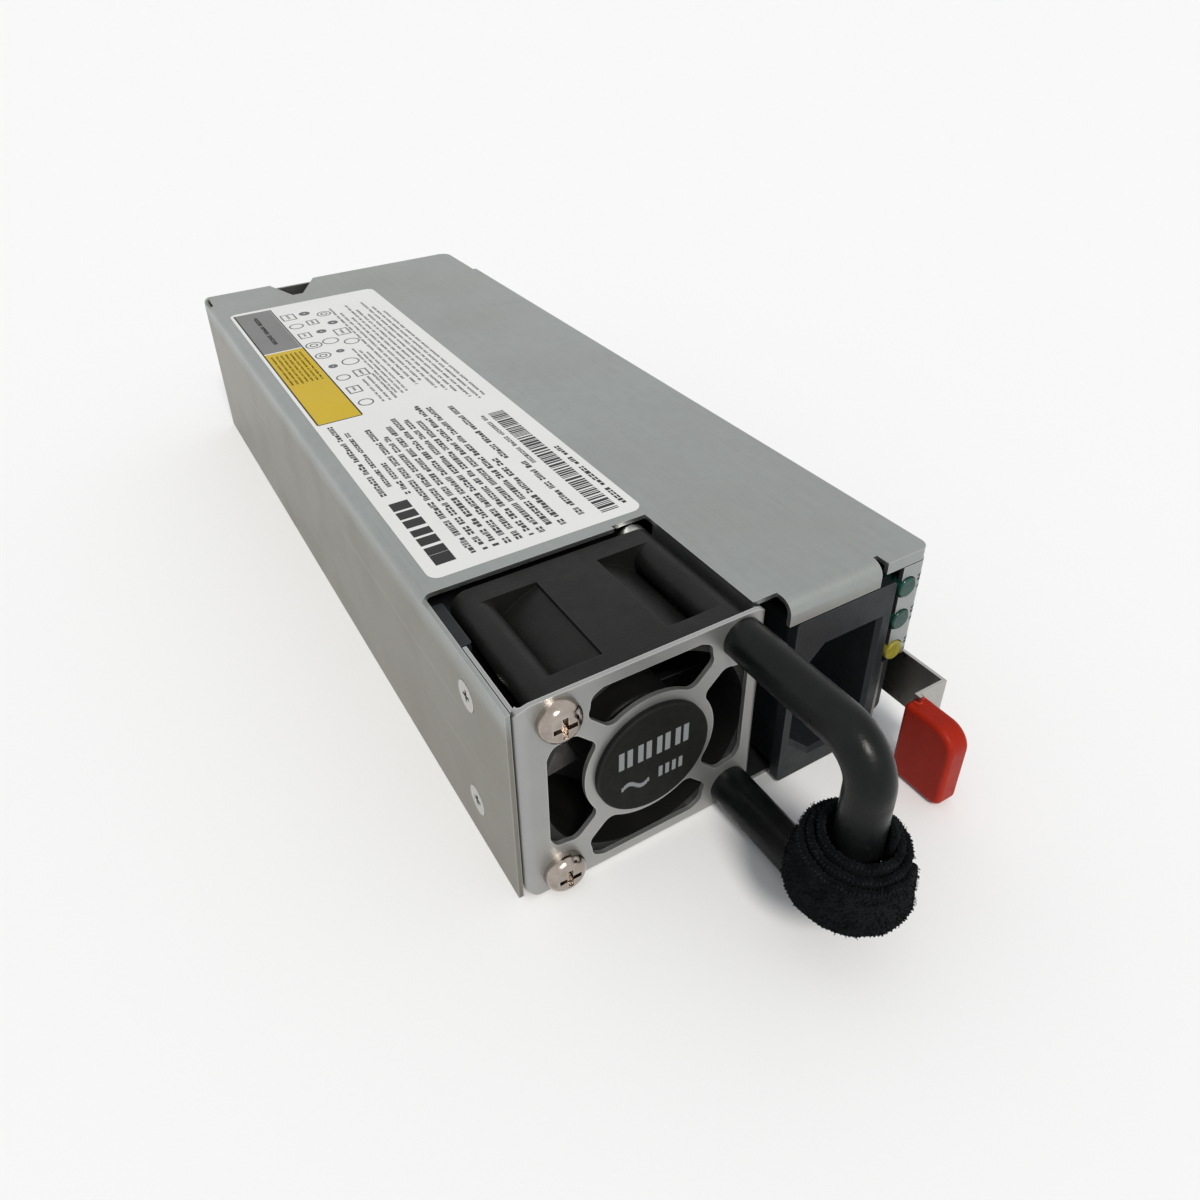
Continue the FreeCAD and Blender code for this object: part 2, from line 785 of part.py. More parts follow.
def fan_rotor():
    """Rotor: cup-shaped hub with a ring of twisted blades."""
    y0, y1 = hub_span()
    hub = rod(hub_radius, (fan_x, y0, fan_z), (0, 1, 0), y1 - y0)
    nose = [edge for edge in hub.Edges if abs(edge.CenterOfMass.y - y0) < seam]
    hub = hub.makeFillet(hub_wall, [nose[0]])
    blade = fan_blade()
    blades = []
    for n in range(blade_count):
        copy = blade.copy()
        copy.rotate(V(0, 0, 0), V(0, 1, 0), n * 360 / blade_count)
        copy.translate(V(fan_x, (y0 + y1) / 2, fan_z))
        blades.append(copy)
    whole = fuse([hub] + blades)
    cavity = rod(hub_radius - hub_wall, (fan_x, y0 + 2 * hub_wall, fan_z), (0, 1, 0),
                 fan_depth)
    bore = rod(shaft_radius, (fan_x, y0 + hub_wall, fan_z), (0, 1, 0), fan_depth)
    return whole.cut([cavity, bore])


def rotor_magnet():
    """Ring magnet inside the hub."""
    y0, y1 = hub_span()
    outer = hub_radius - hub_wall
    start = (fan_x, y0 + 3 * hub_wall, fan_z)
    return ring(outer, outer - magnet_wall, start, (0, 1, 0), y1 - y0 - 4 * hub_wall)


def fan_shaft():
    """Shaft pressed into the hub and carried in both bearings."""
    y0 = hub_span()[0] + hub_wall
    y1 = fan_rear - 2 * sheet
    return rod(shaft_radius, (fan_x, y0, fan_z), (0, 1, 0), y1 - y0)


def fan_bearings():
    """Two ball bearings, drawn as plain rings, one at each end of the motor's tube."""
    tube_rear = fan_rear - motor_plate
    tube_front = tube_rear - stator_length - 2 * sheet
    bore = shaft_radius + shaft_clearance
    starts = (tube_front + sheet / 2, tube_rear - bearing_width)
    rings = [ring(bearing_radius, bore, (fan_x, y, fan_z), (0, 1, 0), bearing_width)
             for y in starts]
    return Part.makeCompound(rings)


def fan_stator():
    """Wound core on the motor's tube: four poles with rounded ends."""
    y1 = fan_rear - motor_plate
    y0 = y1 - stator_length
    outer = hub_radius - hub_wall - magnet_wall - stator_gap
    core = rod(outer, (fan_x, y0, fan_z), (0, 1, 0), stator_length)
    arms = [box(fan_x - outer, fan_x + outer, y0, y1, fan_z - outer / 3, fan_z + outer / 3)]
    arms.append(box(fan_x - outer / 3, fan_x + outer / 3, y0, y1, fan_z - outer,
                    fan_z + outer))
    tube = bearing_radius + bearing_tube_wall
    middle = rod(tube + sheet, (fan_x, y0, fan_z), (0, 1, 0), stator_length)
    poles = core.common(fuse(arms + [middle]))
    return poles.cut(rod(tube, (fan_x, y0, fan_z), (0, 1, 0), stator_length))


def pan_screw(x, z):
    """Pan head screw with a cross recess, through the bezel into the fan's frame."""
    head = rod(pan_radius, (x, front, z), (0, -1, 0), pan_height)
    crown = [edge for edge in head.Edges if abs(edge.CenterOfMass.y - front) > seam]
    head = head.makeFillet(pan_height * 0.7, [crown[0]])
    head = head.cut(cross_recess((x, front - pan_height, z), 1, 1, pan_recess))
    shank = rod(fan_hole_radius, (x, front, z), (0, 1, 0), pan_shank_length)
    return fuse([head, shank])


def fan_screws():
    """Two pan head screws at the fan's left corners."""
    x = fan_x - hole_offset
    return Part.makeCompound([pan_screw(x, fan_z + s * hole_offset) for s in (-1, 1)])


def side_screws():
    """Two countersunk screws, flush in the left wall and threaded into the bezel's flange."""
    screws = []
    for x, y, z in side_screw_points():
        head = cone(side_screw_head, side_screw_radius, (x, y, z), (1, 0, 0), sheet)
        shank = rod(side_screw_radius, (x + sheet, y, z), (1, 0, 0),
                    side_screw_length - sheet)
        screw = fuse([head, shank])
        screws.append(screw.cut(cross_recess((x, y, z), 0, -1, side_recess)))
    return Part.makeCompound(screws)


# ---------------------------------------------------------------- handle

def handle_path():
    """Centre line of the handle: two legs, two bends and the grip bar."""
    z0 = fan_z - hole_offset
    z1 = fan_z + hole_offset
    x = handle_x
    bend = handle_bend
    mid = bend * (1 - math.sqrt(0.5))
    low = Part.Arc(V(x, grip_y + bend, z0), V(x, grip_y + mid, z0 + mid),
                   V(x, grip_y, z0 + bend)).toShape()
    high = Part.Arc(V(x, grip_y, z1 - bend), V(x, grip_y + mid, z1 - mid),
                    V(x, grip_y + bend, z1)).toShape()
    return Part.Wire([Part.makeLine(V(x, front, z0), V(x, grip_y + bend, z0)), low,
                      Part.makeLine(V(x, grip_y, z0 + bend), V(x, grip_y, z1 - bend)), high,
                      Part.makeLine(V(x, grip_y + bend, z1), V(x, front, z1))])


def handle_feet():
    """Centres of the handle's two feet on the bezel."""
    return [(handle_x, front, fan_z + s * hole_offset) for s in (-1, 1)]


def pull_handle():
    """Bent round bar with a threaded hole in the foot of each leg."""
    path = handle_path()
    start = path.Edges[0].Vertexes[0].Point
    section = Part.Wire(Part.makeCircle(handle_bar_radius, start, V(0, 1, 0)))
    bar = path.makePipeShell([section], True, True)
    holes = [rod(fan_hole_radius, foot, (0, -1, 0), handle_screw_grip)
             for foot in handle_feet()]
    return bar.cut(holes)


def handle_screws():
    """Long screws through the fan's right corners, into the handle's legs."""
    screws = []
    for x, y, z in handle_feet():
        length = handle_screw_grip + fan_rear - front - sheet
        shank = rod(fan_hole_radius, (x, fan_rear, z), (0, -1, 0), length)
        head = rod(handle_screw_head, (x, fan_rear, z), (0, 1, 0), handle_screw_head_height)
        screws.append(fuse([shank, head]))
    return Part.makeCompound(screws)


def strap_roll():
    """Hook and loop strap wound round the grip bar, drawn as one spiral of half circles."""
    pitch = strap_thickness + strap_gap
    inner = handle_bar_radius + strap_clearance + math.hypot(*strap_slack) + pitch / 4
    edges_in = []
    edges_out = []
    for n in range(strap_half_turns):
        radius = inner + n * pitch / 2
        side = 1 if n % 2 else -1
        centre = -side * pitch / 4
        for edges, size in ((edges_in, radius), (edges_out, radius + strap_thickness)):
            start = V(centre + side * size, 0, 0)
            middle = V(centre, side * size, 0)
            end = V(centre - side * size, 0, 0)
            edges.append(Part.Arc(start, middle, end).toShape())
    first = Part.makeLine(edges_in[0].Vertexes[0].Point, edges_out[0].Vertexes[0].Point)
    tail_in = edges_in[-1].Vertexes[-1].Point
    tail_out = edges_out[-1].Vertexes[-1].Point
    last = Part.makeLine(tail_out, tail_in)
    wire = Part.Wire(Part.__sortEdges__(edges_in + edges_out + [first, last]))
    band = Part.Face(wire).extrude(V(0, 0, strap_width))
    middle = (tail_in + tail_out) / 2
    tail = box(middle.x - strap_thickness / 2, middle.x + strap_thickness / 2, middle.y,
               middle.y + strap_tail, 0, strap_width)
    if strap_half_turns % 2 == 0:
        tail = tail.mirror(V(0, middle.y, 0), V(0, 1, 0))
    roll = fuse([band, tail])
    roll.rotate(V(0, 0, 0), V(0, 0, 1), strap_turn)
    roll.translate(V(handle_x + strap_slack[0], grip_y + strap_slack[1], strap_height))
    return roll


# ---------------------------------------------------------------- inlet

def socket_outline(grow):
    """Socket outline in XZ with its left corners cut, grown on every side."""
    x0 = socket_left - grow
    x1 = socket_left + socket_width + grow
    z0 = socket_low - grow
    z1 = socket_low + socket_height + grow
    c = socket_chamfer
    points = [(x0 + c, z0), (x1, z0), (x1, z1), (x0 + c, z1), (x0, z1 - c), (x0, z0 + c)]
    corners = [V(x, face, z) for x, z in points]
    return Part.makePolygon(corners + [corners[0]])


def blade_places():
    """Centres in XZ of the three inlet blades: earth first, then line and neutral."""
    earth = (socket_x - blade_row_gap / 2, socket_z)
    others = [(socket_x + blade_row_gap / 2, socket_z + s * blade_spacing) for s in (1, -1)]
    return [earth] + others


def inlet_blades():
    """Three flat contact blades with tails behind the inlet."""
    y0 = face + blade_recess
    y1 = face + inlet_depth + blade_tail
    blades = []
    for x, z in blade_places():
        blade = box(x - blade_width / 2, x + blade_width / 2, y0, y1, z - blade_height / 2,
                    z + blade_height / 2)
        front_edges = [edge for edge in blade.Edges if abs(edge.CenterOfMass.y - y0) < seam]
        blades.append(blade.makeChamfer(blade_height / 4, front_edges))
    return Part.makeCompound(blades)


def ac_inlet():
    """Moulded inlet: face plate, body and the sunk socket with its lead-in."""
    plate = box(inlet_left, inlet_right, face, face + inlet_plate, inlet_low,
                inlet_height)
    plate = rounded(plate, sheet, 1)
    body = box(inlet_left + inlet_shoulder, inlet_right - inlet_shoulder, face,
               face + inlet_depth, floor_top + seam, inlet_height - inlet_shoulder)
    body = rounded(body, sheet, 1)
    cavity = Part.Face(socket_outline(0)).extrude(V(0, socket_depth, 0))
    lead_in = Part.makeLoft([socket_outline(socket_lead), socket_inner_wire()], True)
    return fuse([plate, body]).cut([cavity, lead_in] + list(inlet_blades().Solids))


def socket_inner_wire():
    """Socket outline at the inner end of the lead-in."""
    wire = socket_outline(0)
    wire.translate(V(0, socket_lead, 0))
    return wire


def inlet_bracket():
    """Thin upright sheet between the inlet and the latch."""
    x0 = inlet_right + bracket_gap
    return box(x0, x0 + bracket_sheet, face, face + bracket_length, floor_top,
               bracket_height)


def latch_guide():
    """Moulded block beside the bracket that the latch strip is pushed towards."""
    x0 = inlet_right + bracket_gap + bracket_sheet
    y0 = face + sheet
    block = box(x0, x0 + guide_width, y0, y0 + guide_length, guide_low,
                guide_low + guide_height)
    return rounded(block, guide_corner, 1, lambda c: c.x > x0 + sheet and c.z < fan_z / 2)


def inlet_leads():
    """Insulated wires from the inlet's blades down to the main board."""
    wires = []
    y0 = face + inlet_depth + blade_tail
    for index, (x, z) in enumerate(blade_places()):
        y1 = y0 + (index + 2) * 2 * lead
        top = rod(2 * lead, (x, y0, z), (0, 1, 0), y1 - y0)
        down = rod(2 * lead, (x, y1, board_top), (0, 0, 1), z - board_top)
        knee = Part.makeSphere(2 * lead, V(x, y1, z))
        wires.append(fuse([top, knee, down]))
    return Part.makeCompound(wires)


# ---------------------------------------------------------------- lamps

def lamp(x, y, z):
    """One light pipe: domed lens at the front and a thin rod back to its lamp."""
    lens = rod(lamp_radius, (x, y - lamp_proud, z), (0, 1, 0), lamp_proud + 2 * sheet)
    crown = [edge for edge in lens.Edges if abs(edge.CenterOfMass.y - y + lamp_proud) < seam]
    lens = lens.makeFillet(lamp_proud * 0.8, [crown[0]])
    pipe = rod(lamp_pipe_radius, (x, y, z), (0, 1, 0), lamp_pipe_length)
    return fuse([lens, pipe])


def status_lamps(first, count):
    """Light pipes of one colour."""
    return Part.makeCompound([lamp(*place) for place in lamp_points()[first:first + count]])


def lamp_board():
    """Small upright board behind the light pipes."""
    y0 = face + lamp_pipe_length
    return box(inlet_right + bracket_gap, inside_right - seam, y0,
               y0 + lamp_board_thickness, slot_top + seam, case_height - cap_drop - sheet)


# ---------------------------------------------------------------- latch

def latch_root():
    """Fixed end of the latch strip, riveted inside the right wall."""
    y0 = pivot_y + latch_root_gap
    x1 = inside_right
    plate = box(x1 - latch_strip, x1, y0, y0 + latch_root_length, latch_low, latch_top)
    holes = [rod(rivet_radius, (x1 - sheet, y, latch_middle()), (1, 0, 0), 2 * sheet)
             for y in rivet_rows()]
    return plate.cut(holes)


def latch_rivets():
    """Rivets through the latch's root and the right wall."""
    rivets = []
    for y in rivet_rows():
        shank_start = inside_right - latch_strip
        shank = rod(rivet_radius, (shank_start, y, latch_middle()), (1, 0, 0),
                    latch_strip + sheet)
        head = rod(rivet_head, (shank_start, y, latch_middle()), (-1, 0, 0),
                   rivet_head_height)
        rivets.append(fuse([shank, head]))
    return Part.makeCompound(rivets)


def latch_spring():
    """Moving part of the latch strip, from its root to the crank inside the tab."""
    inner = inside_right - latch_wall_gap
    outer = right
    barb_y = front + barb_back
    tab_x = right - tab_side - tab_thickness / 2
    corner_y = front - latch_reach
    path = [(inner, pivot_y), (inner, front + latch_joggle_back - latch_slot_gap),
            (outer, front + latch_joggle_back - latch_slot_gap - latch_joggle),
            (outer, barb_y + barb_length), (outer + barb_height, barb_y + sheet),
            (outer, barb_y), (outer, corner_y),
            (tab_x + latch_strip / 2, corner_y),
            (tab_x + latch_strip / 2, front - tab_start - tab_length + tab_brow_corner + tab_rounding)]
    outline = thick_path(path[::-1], latch_strip)
    strip = prism(outline, latch_low, latch_height)
    nose_z = tab_low + tab_height
    return strip.cut(box(tab_x - tab_thickness, tab_x + tab_thickness, front - reach,
                         corner_y - latch_strip, nose_z - sheet, reach))


def release_tab():
    """Moulded push tab over the strip's cranked end."""
    x1 = right - tab_side
    x0 = x1 - tab_thickness
    y1 = front - tab_start
    y0 = y1 - tab_length
    tab_middle = tab_low + tab_height / 2
    block = box(x0, x1, y0, y1, tab_low, tab_low + tab_height)
    block = rounded(block, tab_heel_corner, 0, lambda c: c.y > y1 - seam)
    block = rounded(block, tab_brow_corner, 0, lambda c: c.y < y0 + seam and c.z > tab_middle)
    block = rounded(block, tab_toe_corner, 0, lambda c: c.y < y0 + seam and c.z < tab_low + seam)
    rims = [edge for edge in block.Edges if abs(edge.CenterOfMass.x - x0) < seam
            or abs(edge.CenterOfMass.x - x1) < seam]
    block = block.makeFillet(tab_rounding, rims)
    return block.cut(latch_spring())


# ---------------------------------------------------------------- boards

def floor_liner():
    """Insulating sheet on the tray's floor, under the main board."""
    plate = box(inside_left + board_margin, inside_right - board_margin,
                board_front - sheet, board_rear + sheet, floor_top, floor_top + liner)
    return plate.cut([rod(standoff_radius, (x, y, 0), (0, 0, 1), reach)
                      for x, y in standoff_points()])


def main_board():
    """Main circuit board with its four fixing holes."""
    plate = box(inside_left + board_margin, inside_right - board_margin, board_front,
                board_rear, board_height, board_top)
    return plate.cut([rod(board_screw_radius, (x, y, 0), (0, 0, 1), reach)
                      for x, y in standoff_points()])


def board_standoffs():
    """Round standoffs between the tray's floor and the main board."""
    posts = [ring(standoff_radius, board_screw_radius, (x, y, floor_top), (0, 0, 1),
                  board_height - floor_top) for x, y in standoff_points()]
    return Part.makeCompound(posts)


def board_screws():
    """Screws that hold the main board down on its standoffs."""
    screws = []
    for x, y in standoff_points():
        shank = rod(board_screw_radius, (x, y, floor_top), (0, 0, 1), board_top - floor_top)
        head = rod(board_screw_head, (x, y, board_top), (0, 0, 1), board_screw_head_height)
        screws.append(fuse([shank, head]))
    return Part.makeCompound(screws)


def edge_card():
    """Output board whose rear edge is the plug of the supply."""
    y1 = rear + edge_card_reach
    half = edge_card_width / 2
    card = box(-half, half, rear - edge_card_depth, y1, edge_card_height,
               edge_card_height + board)
    card = card.makeChamfer(board / 3, [edge for edge in edges_along(card, 0)
                                        if edge.CenterOfMass.y > y1 - seam])
    key_x = half / 3
    key = box(key_x - edge_key_width / 2, key_x + edge_key_width / 2,
              y1 - edge_contact_length, y1 + sheet, 0, reach)
    return card.cut(key)


def edge_contacts():
    """Rows of gold contacts on both faces of the card edge."""
    y1 = rear + edge_card_reach - sheet
    half = edge_card_width / 2
    key_x = half / 3
    x0 = -(edge_contact_count - 1) / 2 * edge_contact_pitch
    pads = []
    for n in range(edge_contact_count):
        x = x0 + n * edge_contact_pitch
        if abs(x - key_x) < (edge_contact_width + edge_key_width) / 2:
            continue
        for z in (edge_card_height - edge_contact_thickness, edge_card_height + board):
            pads.append(box(x - edge_contact_width / 2, x + edge_contact_width / 2,
                            y1 - edge_contact_length, y1, z, z + edge_contact_thickness))
    return Part.makeCompound(pads)


def card_posts():
    """Two metal posts that carry the output board and its current from the main board."""
    half = edge_card_width / 2 - 2 * standoff_radius
    y = rear - edge_card_depth + 2 * standoff_radius
    posts = [rod(standoff_radius, (s * half, y, board_top), (0, 0, 1),
                 edge_card_height - board_top) for s in (-1, 1)]
    return Part.makeCompound(posts)


def heatsink(x, y0, fins_to):
    """Upright heatsink plate on the main board with fins to one side."""
    z1 = board_top + sink_height
    plate = box(x, x + sink_base, y0, y0 + sink_length, board_top, z1)
    fins = []
    for n in range(sink_fin_count):
        z = board_top + (n + 0.5) * sink_height / sink_fin_count
        xs = sorted((x + sink_base / 2, x + sink_base / 2 + fins_to * sink_fin_reach))
        fins.append(box(xs[0], xs[1], y0, y0 + sink_length, z, z + sink_fin))
    return fuse([plate] + fins)


def sink_places():
    """Left faces and front ends of the primary and secondary heatsinks."""
    primary = (inside_left + board_margin + sink_fin_reach + sheet,
               board_front + 2 * bulk_radius + 4 * sheet)
    secondary = (inside_right - board_margin - sink_fin_reach - sink_base - sheet,
                 board_rear - edge_card_depth - sink_length)
    return primary, secondary


def power_transistors():
    """Flat-backed transistors clamped to the primary heatsink, standing on the board."""
    x, y0 = sink_places()[0]
    pitch = sink_length / transistor_count
    bodies = []
    for n in range(transistor_count):
        middle = y0 + (n + 0.5) * pitch
        bodies.append(box(x + sink_base, x + sink_base + transistor_thickness,
                          middle - transistor_width / 2, middle + transistor_width / 2,
                          board_top + 3 * sheet, board_top + 3 * sheet + transistor_height))
    legs = []
    for body in bodies:
        centre = body.CenterOfMass
        for s in (-1, 0, 1):
            y = centre.y + s * transistor_width / 3
            legs.append(box(centre.x - lead, centre.x + lead, y - lead, y + lead,
                            board_top, board_top + 3 * sheet))
    joined = [fuse([body] + legs[n * 3:n * 3 + 3]) for n, body in enumerate(bodies)]
    return Part.makeCompound(joined)


def bulk_capacitor():
    """Large capacitor lying across the front of the main board."""
    x0 = inside_left + board_margin + sheet
    y = board_front + bulk_radius
    z = board_top + bulk_radius
    can = rod(bulk_radius, (x0, y, z), (1, 0, 0), bulk_length)
    rim = [edge for edge in can.Edges if edge.Curve.TypeId == "Part::GeomCircle"]
    return can.makeChamfer(sheet, rim)


def transformer_place():
    """Centre of the main transformer on the board."""
    return 0.0, board_rear - edge_card_depth - core_length


def transformer_core():
    """Two E-shaped core halves drawn as one frame with a middle leg."""
    x, y = transformer_place()
    half_w = core_width / 2
    half_l = core_length / 2
    frame = box(x - half_w, x + half_w, y - half_l, y + half_l, board_top,
                board_top + core_height)
    window = box(x - half_w + core_leg, x + half_w - core_leg, y - half_l - sheet,
                 y + half_l + sheet, board_top + core_leg, board_top + core_height - core_leg)
    leg = rod(core_leg, (x, y, board_top), (0, 0, 1), core_height)
    return fuse([frame.cut(window), leg])


def transformer_winding():
    """Winding on the core's middle leg."""
    x, y = transformer_place()
    outer = min(winding_radius, core_width / 2 - core_leg - seam)
    z0 = board_top + core_leg
    return ring(outer, core_leg, (x, y, z0), (0, 0, 1), core_height - 2 * core_leg)


def toroid(radius, bore, width, x, y):
    """Ring choke standing on the main board, with chamfered rims."""
    z = board_top + radius
    body = ring(radius, bore, (x, y, z), (0, 1, 0), width)
    rims = [edge for edge in body.Edges if edge.Curve.TypeId == "Part::GeomCircle"]
    return body.makeChamfer(width / 6, rims)


def pfc_choke():
    """Boost choke in the middle of the board."""
    y = board_front + 2 * bulk_radius + 3 * sheet
    return toroid(choke_radius, choke_bore, choke_width, 0.0, y)


def filter_choke():
    """Mains filter choke behind the inlet."""
    x = inside_right - board_margin - filter_radius - 3 * sheet
    y = board_front + filter_place_back()
    return toroid(filter_radius, filter_bore, filter_width, x, y)


def filter_place_back():
    """Distance from the board's front edge to the filter choke."""
    return 2 * lead * 4 + film_width


def filter_capacitors():
    """Film capacitors beside the filter choke."""
    x1 = inside_right - board_margin - 3 * sheet
    y0 = board_front + filter_place_back() + filter_width + sheet
    blocks = []
    for n in range(2):
        y = y0 + n * (film_width + sheet)
        block = box(x1 - film_length, x1, y, y + film_width, board_top,
                    board_top + film_height)
        blocks.append(rounded(block, sheet, 2))
    return Part.makeCompound(blocks)


def filter_end_back():
    """Distance from the board's front edge to the end of the mains filter."""
    return filter_place_back() + filter_width + 2 * (film_width + sheet) + sheet


def bridge_rectifier():
    """Flat rectifier standing beside the mains filter."""
    x1 = inside_right - board_margin - 3 * sheet
    y = board_front + filter_end_back() + sheet
    body = box(x1 - rectifier_width, x1, y, y + rectifier_thickness,
               board_top + 2 * sheet, board_top + 2 * sheet + rectifier_height)
    body = rounded(body, sheet / 2, 2)
    legs = []
    for n in range(4):
        x = x1 - rectifier_width + (n + 0.5) * rectifier_width / 4
        legs.append(box(x - lead, x + lead, y + sheet, y + 2 * sheet, board_top,
                        board_top + 3 * sheet))
    return fuse([body] + legs)


def inrush_relay():
    """Sealed relay behind the rectifier."""
    x1 = inside_right - board_margin - 3 * sheet
    y = board_front + filter_end_back() + 2 * sheet + rectifier_thickness
    block = box(x1 - relay_length, x1, y, y + relay_width, board_top,
                board_top + relay_height)
    return rounded(block, sheet / 2, 2)


def mains_fuse():
    """Glass fuse in two end caps, lying beside the filter capacitors."""
    x = inside_right - board_margin - film_length - 4 * sheet - fuse_radius
    y = board_front + filter_end_back() - fuse_length
    return rod(fuse_radius, (x, y, board_top + fuse_radius), (0, 1, 0), fuse_length)


def output_capacitors():
    """Row of upright capacitors in front of the output board."""
    y = rear - edge_card_depth - output_can_radius - sheet
    x0 = -(output_can_count - 1) / 2 * output_can_pitch
    cans = []
    for n in range(output_can_count):
        can = rod(output_can_radius, (x0 + n * output_can_pitch, y, board_top), (0, 0, 1),
                  output_can_length)
        crown = [edge for edge in can.Edges
                 if edge.CenterOfMass.z > board_top + output_can_length - seam]
        cans.append(can.makeChamfer(sheet / 2, [crown[0]]))
    return Part.makeCompound(cans)


def control_place():
    """Left face and front end of the upright control board."""
    x = transformer_place()[0] + core_width / 2 + 2 * sheet
    y0 = board_rear - edge_card_depth - sink_length
    return x, y0 - sheet


def control_board():
    """Upright control board in the main board's slot."""
    x, y0 = control_place()
    return box(x, x + lamp_board_thickness, y0, y0 + control_length, board_top,
               board_top + control_height)


def control_chips():
    """Flat packages on the control board."""
    x, y0 = control_place()
    x -= chip_height
    chips = []
    for n in range(2):
        y = y0 + chip_width + n * (chip_length + chip_width)
        z = board_top + control_height / 2
        chips.append(box(x, x + chip_height, y, y + chip_length, z, z + chip_width))
    return Part.makeCompound(chips)


def fan_lead_x():
    """Sideways place of the fan's lead and plug."""
    return inside_left + board_margin + 2 * sheet + plug_width / 2


def fan_connector():
    """Plug of the fan's lead on the main board."""
    x = fan_lead_x() - plug_width / 2
    y0 = board_front - plug_overhang
    block = box(x, x + plug_width, y0, y0 + plug_length, board_top, board_top + plug_height)
    return rounded(block, sheet / 2, 1)


def fan_lead():
    """Lead from the fan's corner back to its plug."""
    z = board_top + plug_height / 4
    y1 = board_front - plug_overhang
    return rod(2 * lead, (fan_lead_x(), fan_rear, z), (0, 1, 0), y1 - fan_rear)


def lead_clip():
    """Moulded clip against the left wall beside the fan."""
    x0 = inside_left
    z1 = case_height - cutaway_lip - clip_rise
    y0 = cutaway_rear - clip_length - cutaway_margin
    block = box(x0, x0 + clip_width, y0, y0 + clip_length, z1 - clip_height, z1)
    return rounded(block, sheet / 2, 2)


def rating_label():
    """Blank rating label on the top."""
    x0 = left + label_inset
    y0 = cutaway_rear + label_gap
    plate = box(x0, x0 + label_width, y0, y0 + label_length, case_height,
                case_height + label_thickness)
    return rounded(plate, label_corner, 2)


def build():
    """Every node of the supply by name."""
    primary, secondary = sink_places()
    return {
        "top_cover": top_cover(),
        "chassis_tray": chassis_tray(),
        "fan_bezel": fan_bezel(),
        "hub_badge": hub_badge(),
        "fan_frame": fan_frame(),
        "fan_rotor": fan_rotor(),
        "rotor_magnet": rotor_magnet(),
        "fan_shaft": fan_shaft(),
        "fan_bearings": fan_bearings(),
        "fan_stator": fan_stator(),
        "fan_screws": fan_screws(),
        "side_screws": side_screws(),
        "pull_handle": pull_handle(),
        "handle_screws": handle_screws(),
        "strap_roll": strap_roll(),
        "ac_inlet": ac_inlet(),
        "inlet_blades": inlet_blades(),
        "inlet_bracket": inlet_bracket(),
        "inlet_leads": inlet_leads(),
        "latch_guide": latch_guide(),
        "green_lamps": status_lamps(0, lamp_count - 1),
        "amber_lamp": status_lamps(lamp_count - 1, 1),
        "lamp_board": lamp_board(),
        "latch_root": latch_root(),
        "latch_rivets": latch_rivets(),
        "latch_spring": latch_spring(),
        "release_tab": release_tab(),
        "floor_liner": floor_liner(),
        "main_board": main_board(),
        "board_standoffs": board_standoffs(),
        "board_screws": board_screws(),
        "edge_card": edge_card(),
        "edge_contacts": edge_contacts(),
        "card_posts": card_posts(),
        "primary_heatsink": heatsink(*primary, -1),
        "secondary_heatsink": heatsink(*secondary, 1),
        "power_transistors": power_transistors(),
        "bulk_capacitor": bulk_capacitor(),
        "transformer_core": transformer_core(),
        "transformer_winding": transformer_winding(),
        "pfc_choke": pfc_choke(),
        "filter_choke": filter_choke(),
        "filter_capacitors": filter_capacitors(),
        "bridge_rectifier": bridge_rectifier(),
        "inrush_relay": inrush_relay(),
        "mains_fuse": mains_fuse(),
        "output_capacitors": output_capacitors(),
        "control_board": control_board(),
        "control_chips": control_chips(),
        "fan_connector": fan_connector(),
        "fan_lead": fan_lead(),
        "lead_clip": lead_clip(),
        "rating_label": rating_label(),
    }


os.makedirs("parts", exist_ok=True)
for name, shape in build().items():
    shape.exportStep("parts/" + name + ".step")
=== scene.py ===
"""Looks for a hot swap server power supply: camera, light, finishes, label, marks and strap."""
import json
import math
import random
import bpy
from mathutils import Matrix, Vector, noise


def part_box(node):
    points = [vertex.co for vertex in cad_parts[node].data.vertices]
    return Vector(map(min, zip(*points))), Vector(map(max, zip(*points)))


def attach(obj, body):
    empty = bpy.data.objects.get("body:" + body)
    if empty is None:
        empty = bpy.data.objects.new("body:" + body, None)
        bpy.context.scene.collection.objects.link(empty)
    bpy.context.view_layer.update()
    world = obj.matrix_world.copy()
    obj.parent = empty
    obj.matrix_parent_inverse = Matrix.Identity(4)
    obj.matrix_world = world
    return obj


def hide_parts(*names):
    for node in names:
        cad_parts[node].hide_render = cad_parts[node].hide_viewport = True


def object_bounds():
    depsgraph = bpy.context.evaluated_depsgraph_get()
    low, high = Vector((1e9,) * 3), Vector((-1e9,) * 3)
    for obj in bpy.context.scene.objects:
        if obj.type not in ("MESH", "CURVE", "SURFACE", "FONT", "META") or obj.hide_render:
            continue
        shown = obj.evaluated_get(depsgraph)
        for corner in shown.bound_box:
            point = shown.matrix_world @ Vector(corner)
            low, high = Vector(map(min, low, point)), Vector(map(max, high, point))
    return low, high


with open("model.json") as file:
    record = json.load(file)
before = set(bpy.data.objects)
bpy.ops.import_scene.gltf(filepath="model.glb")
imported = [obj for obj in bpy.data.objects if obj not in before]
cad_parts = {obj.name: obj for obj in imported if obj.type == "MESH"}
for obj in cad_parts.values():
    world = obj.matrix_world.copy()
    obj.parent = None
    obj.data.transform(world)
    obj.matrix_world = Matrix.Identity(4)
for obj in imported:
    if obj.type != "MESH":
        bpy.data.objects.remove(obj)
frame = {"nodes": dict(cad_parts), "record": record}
cad_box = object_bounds()
MM = 0.001


# ---------------------------------------------------------------- camera, light and floor

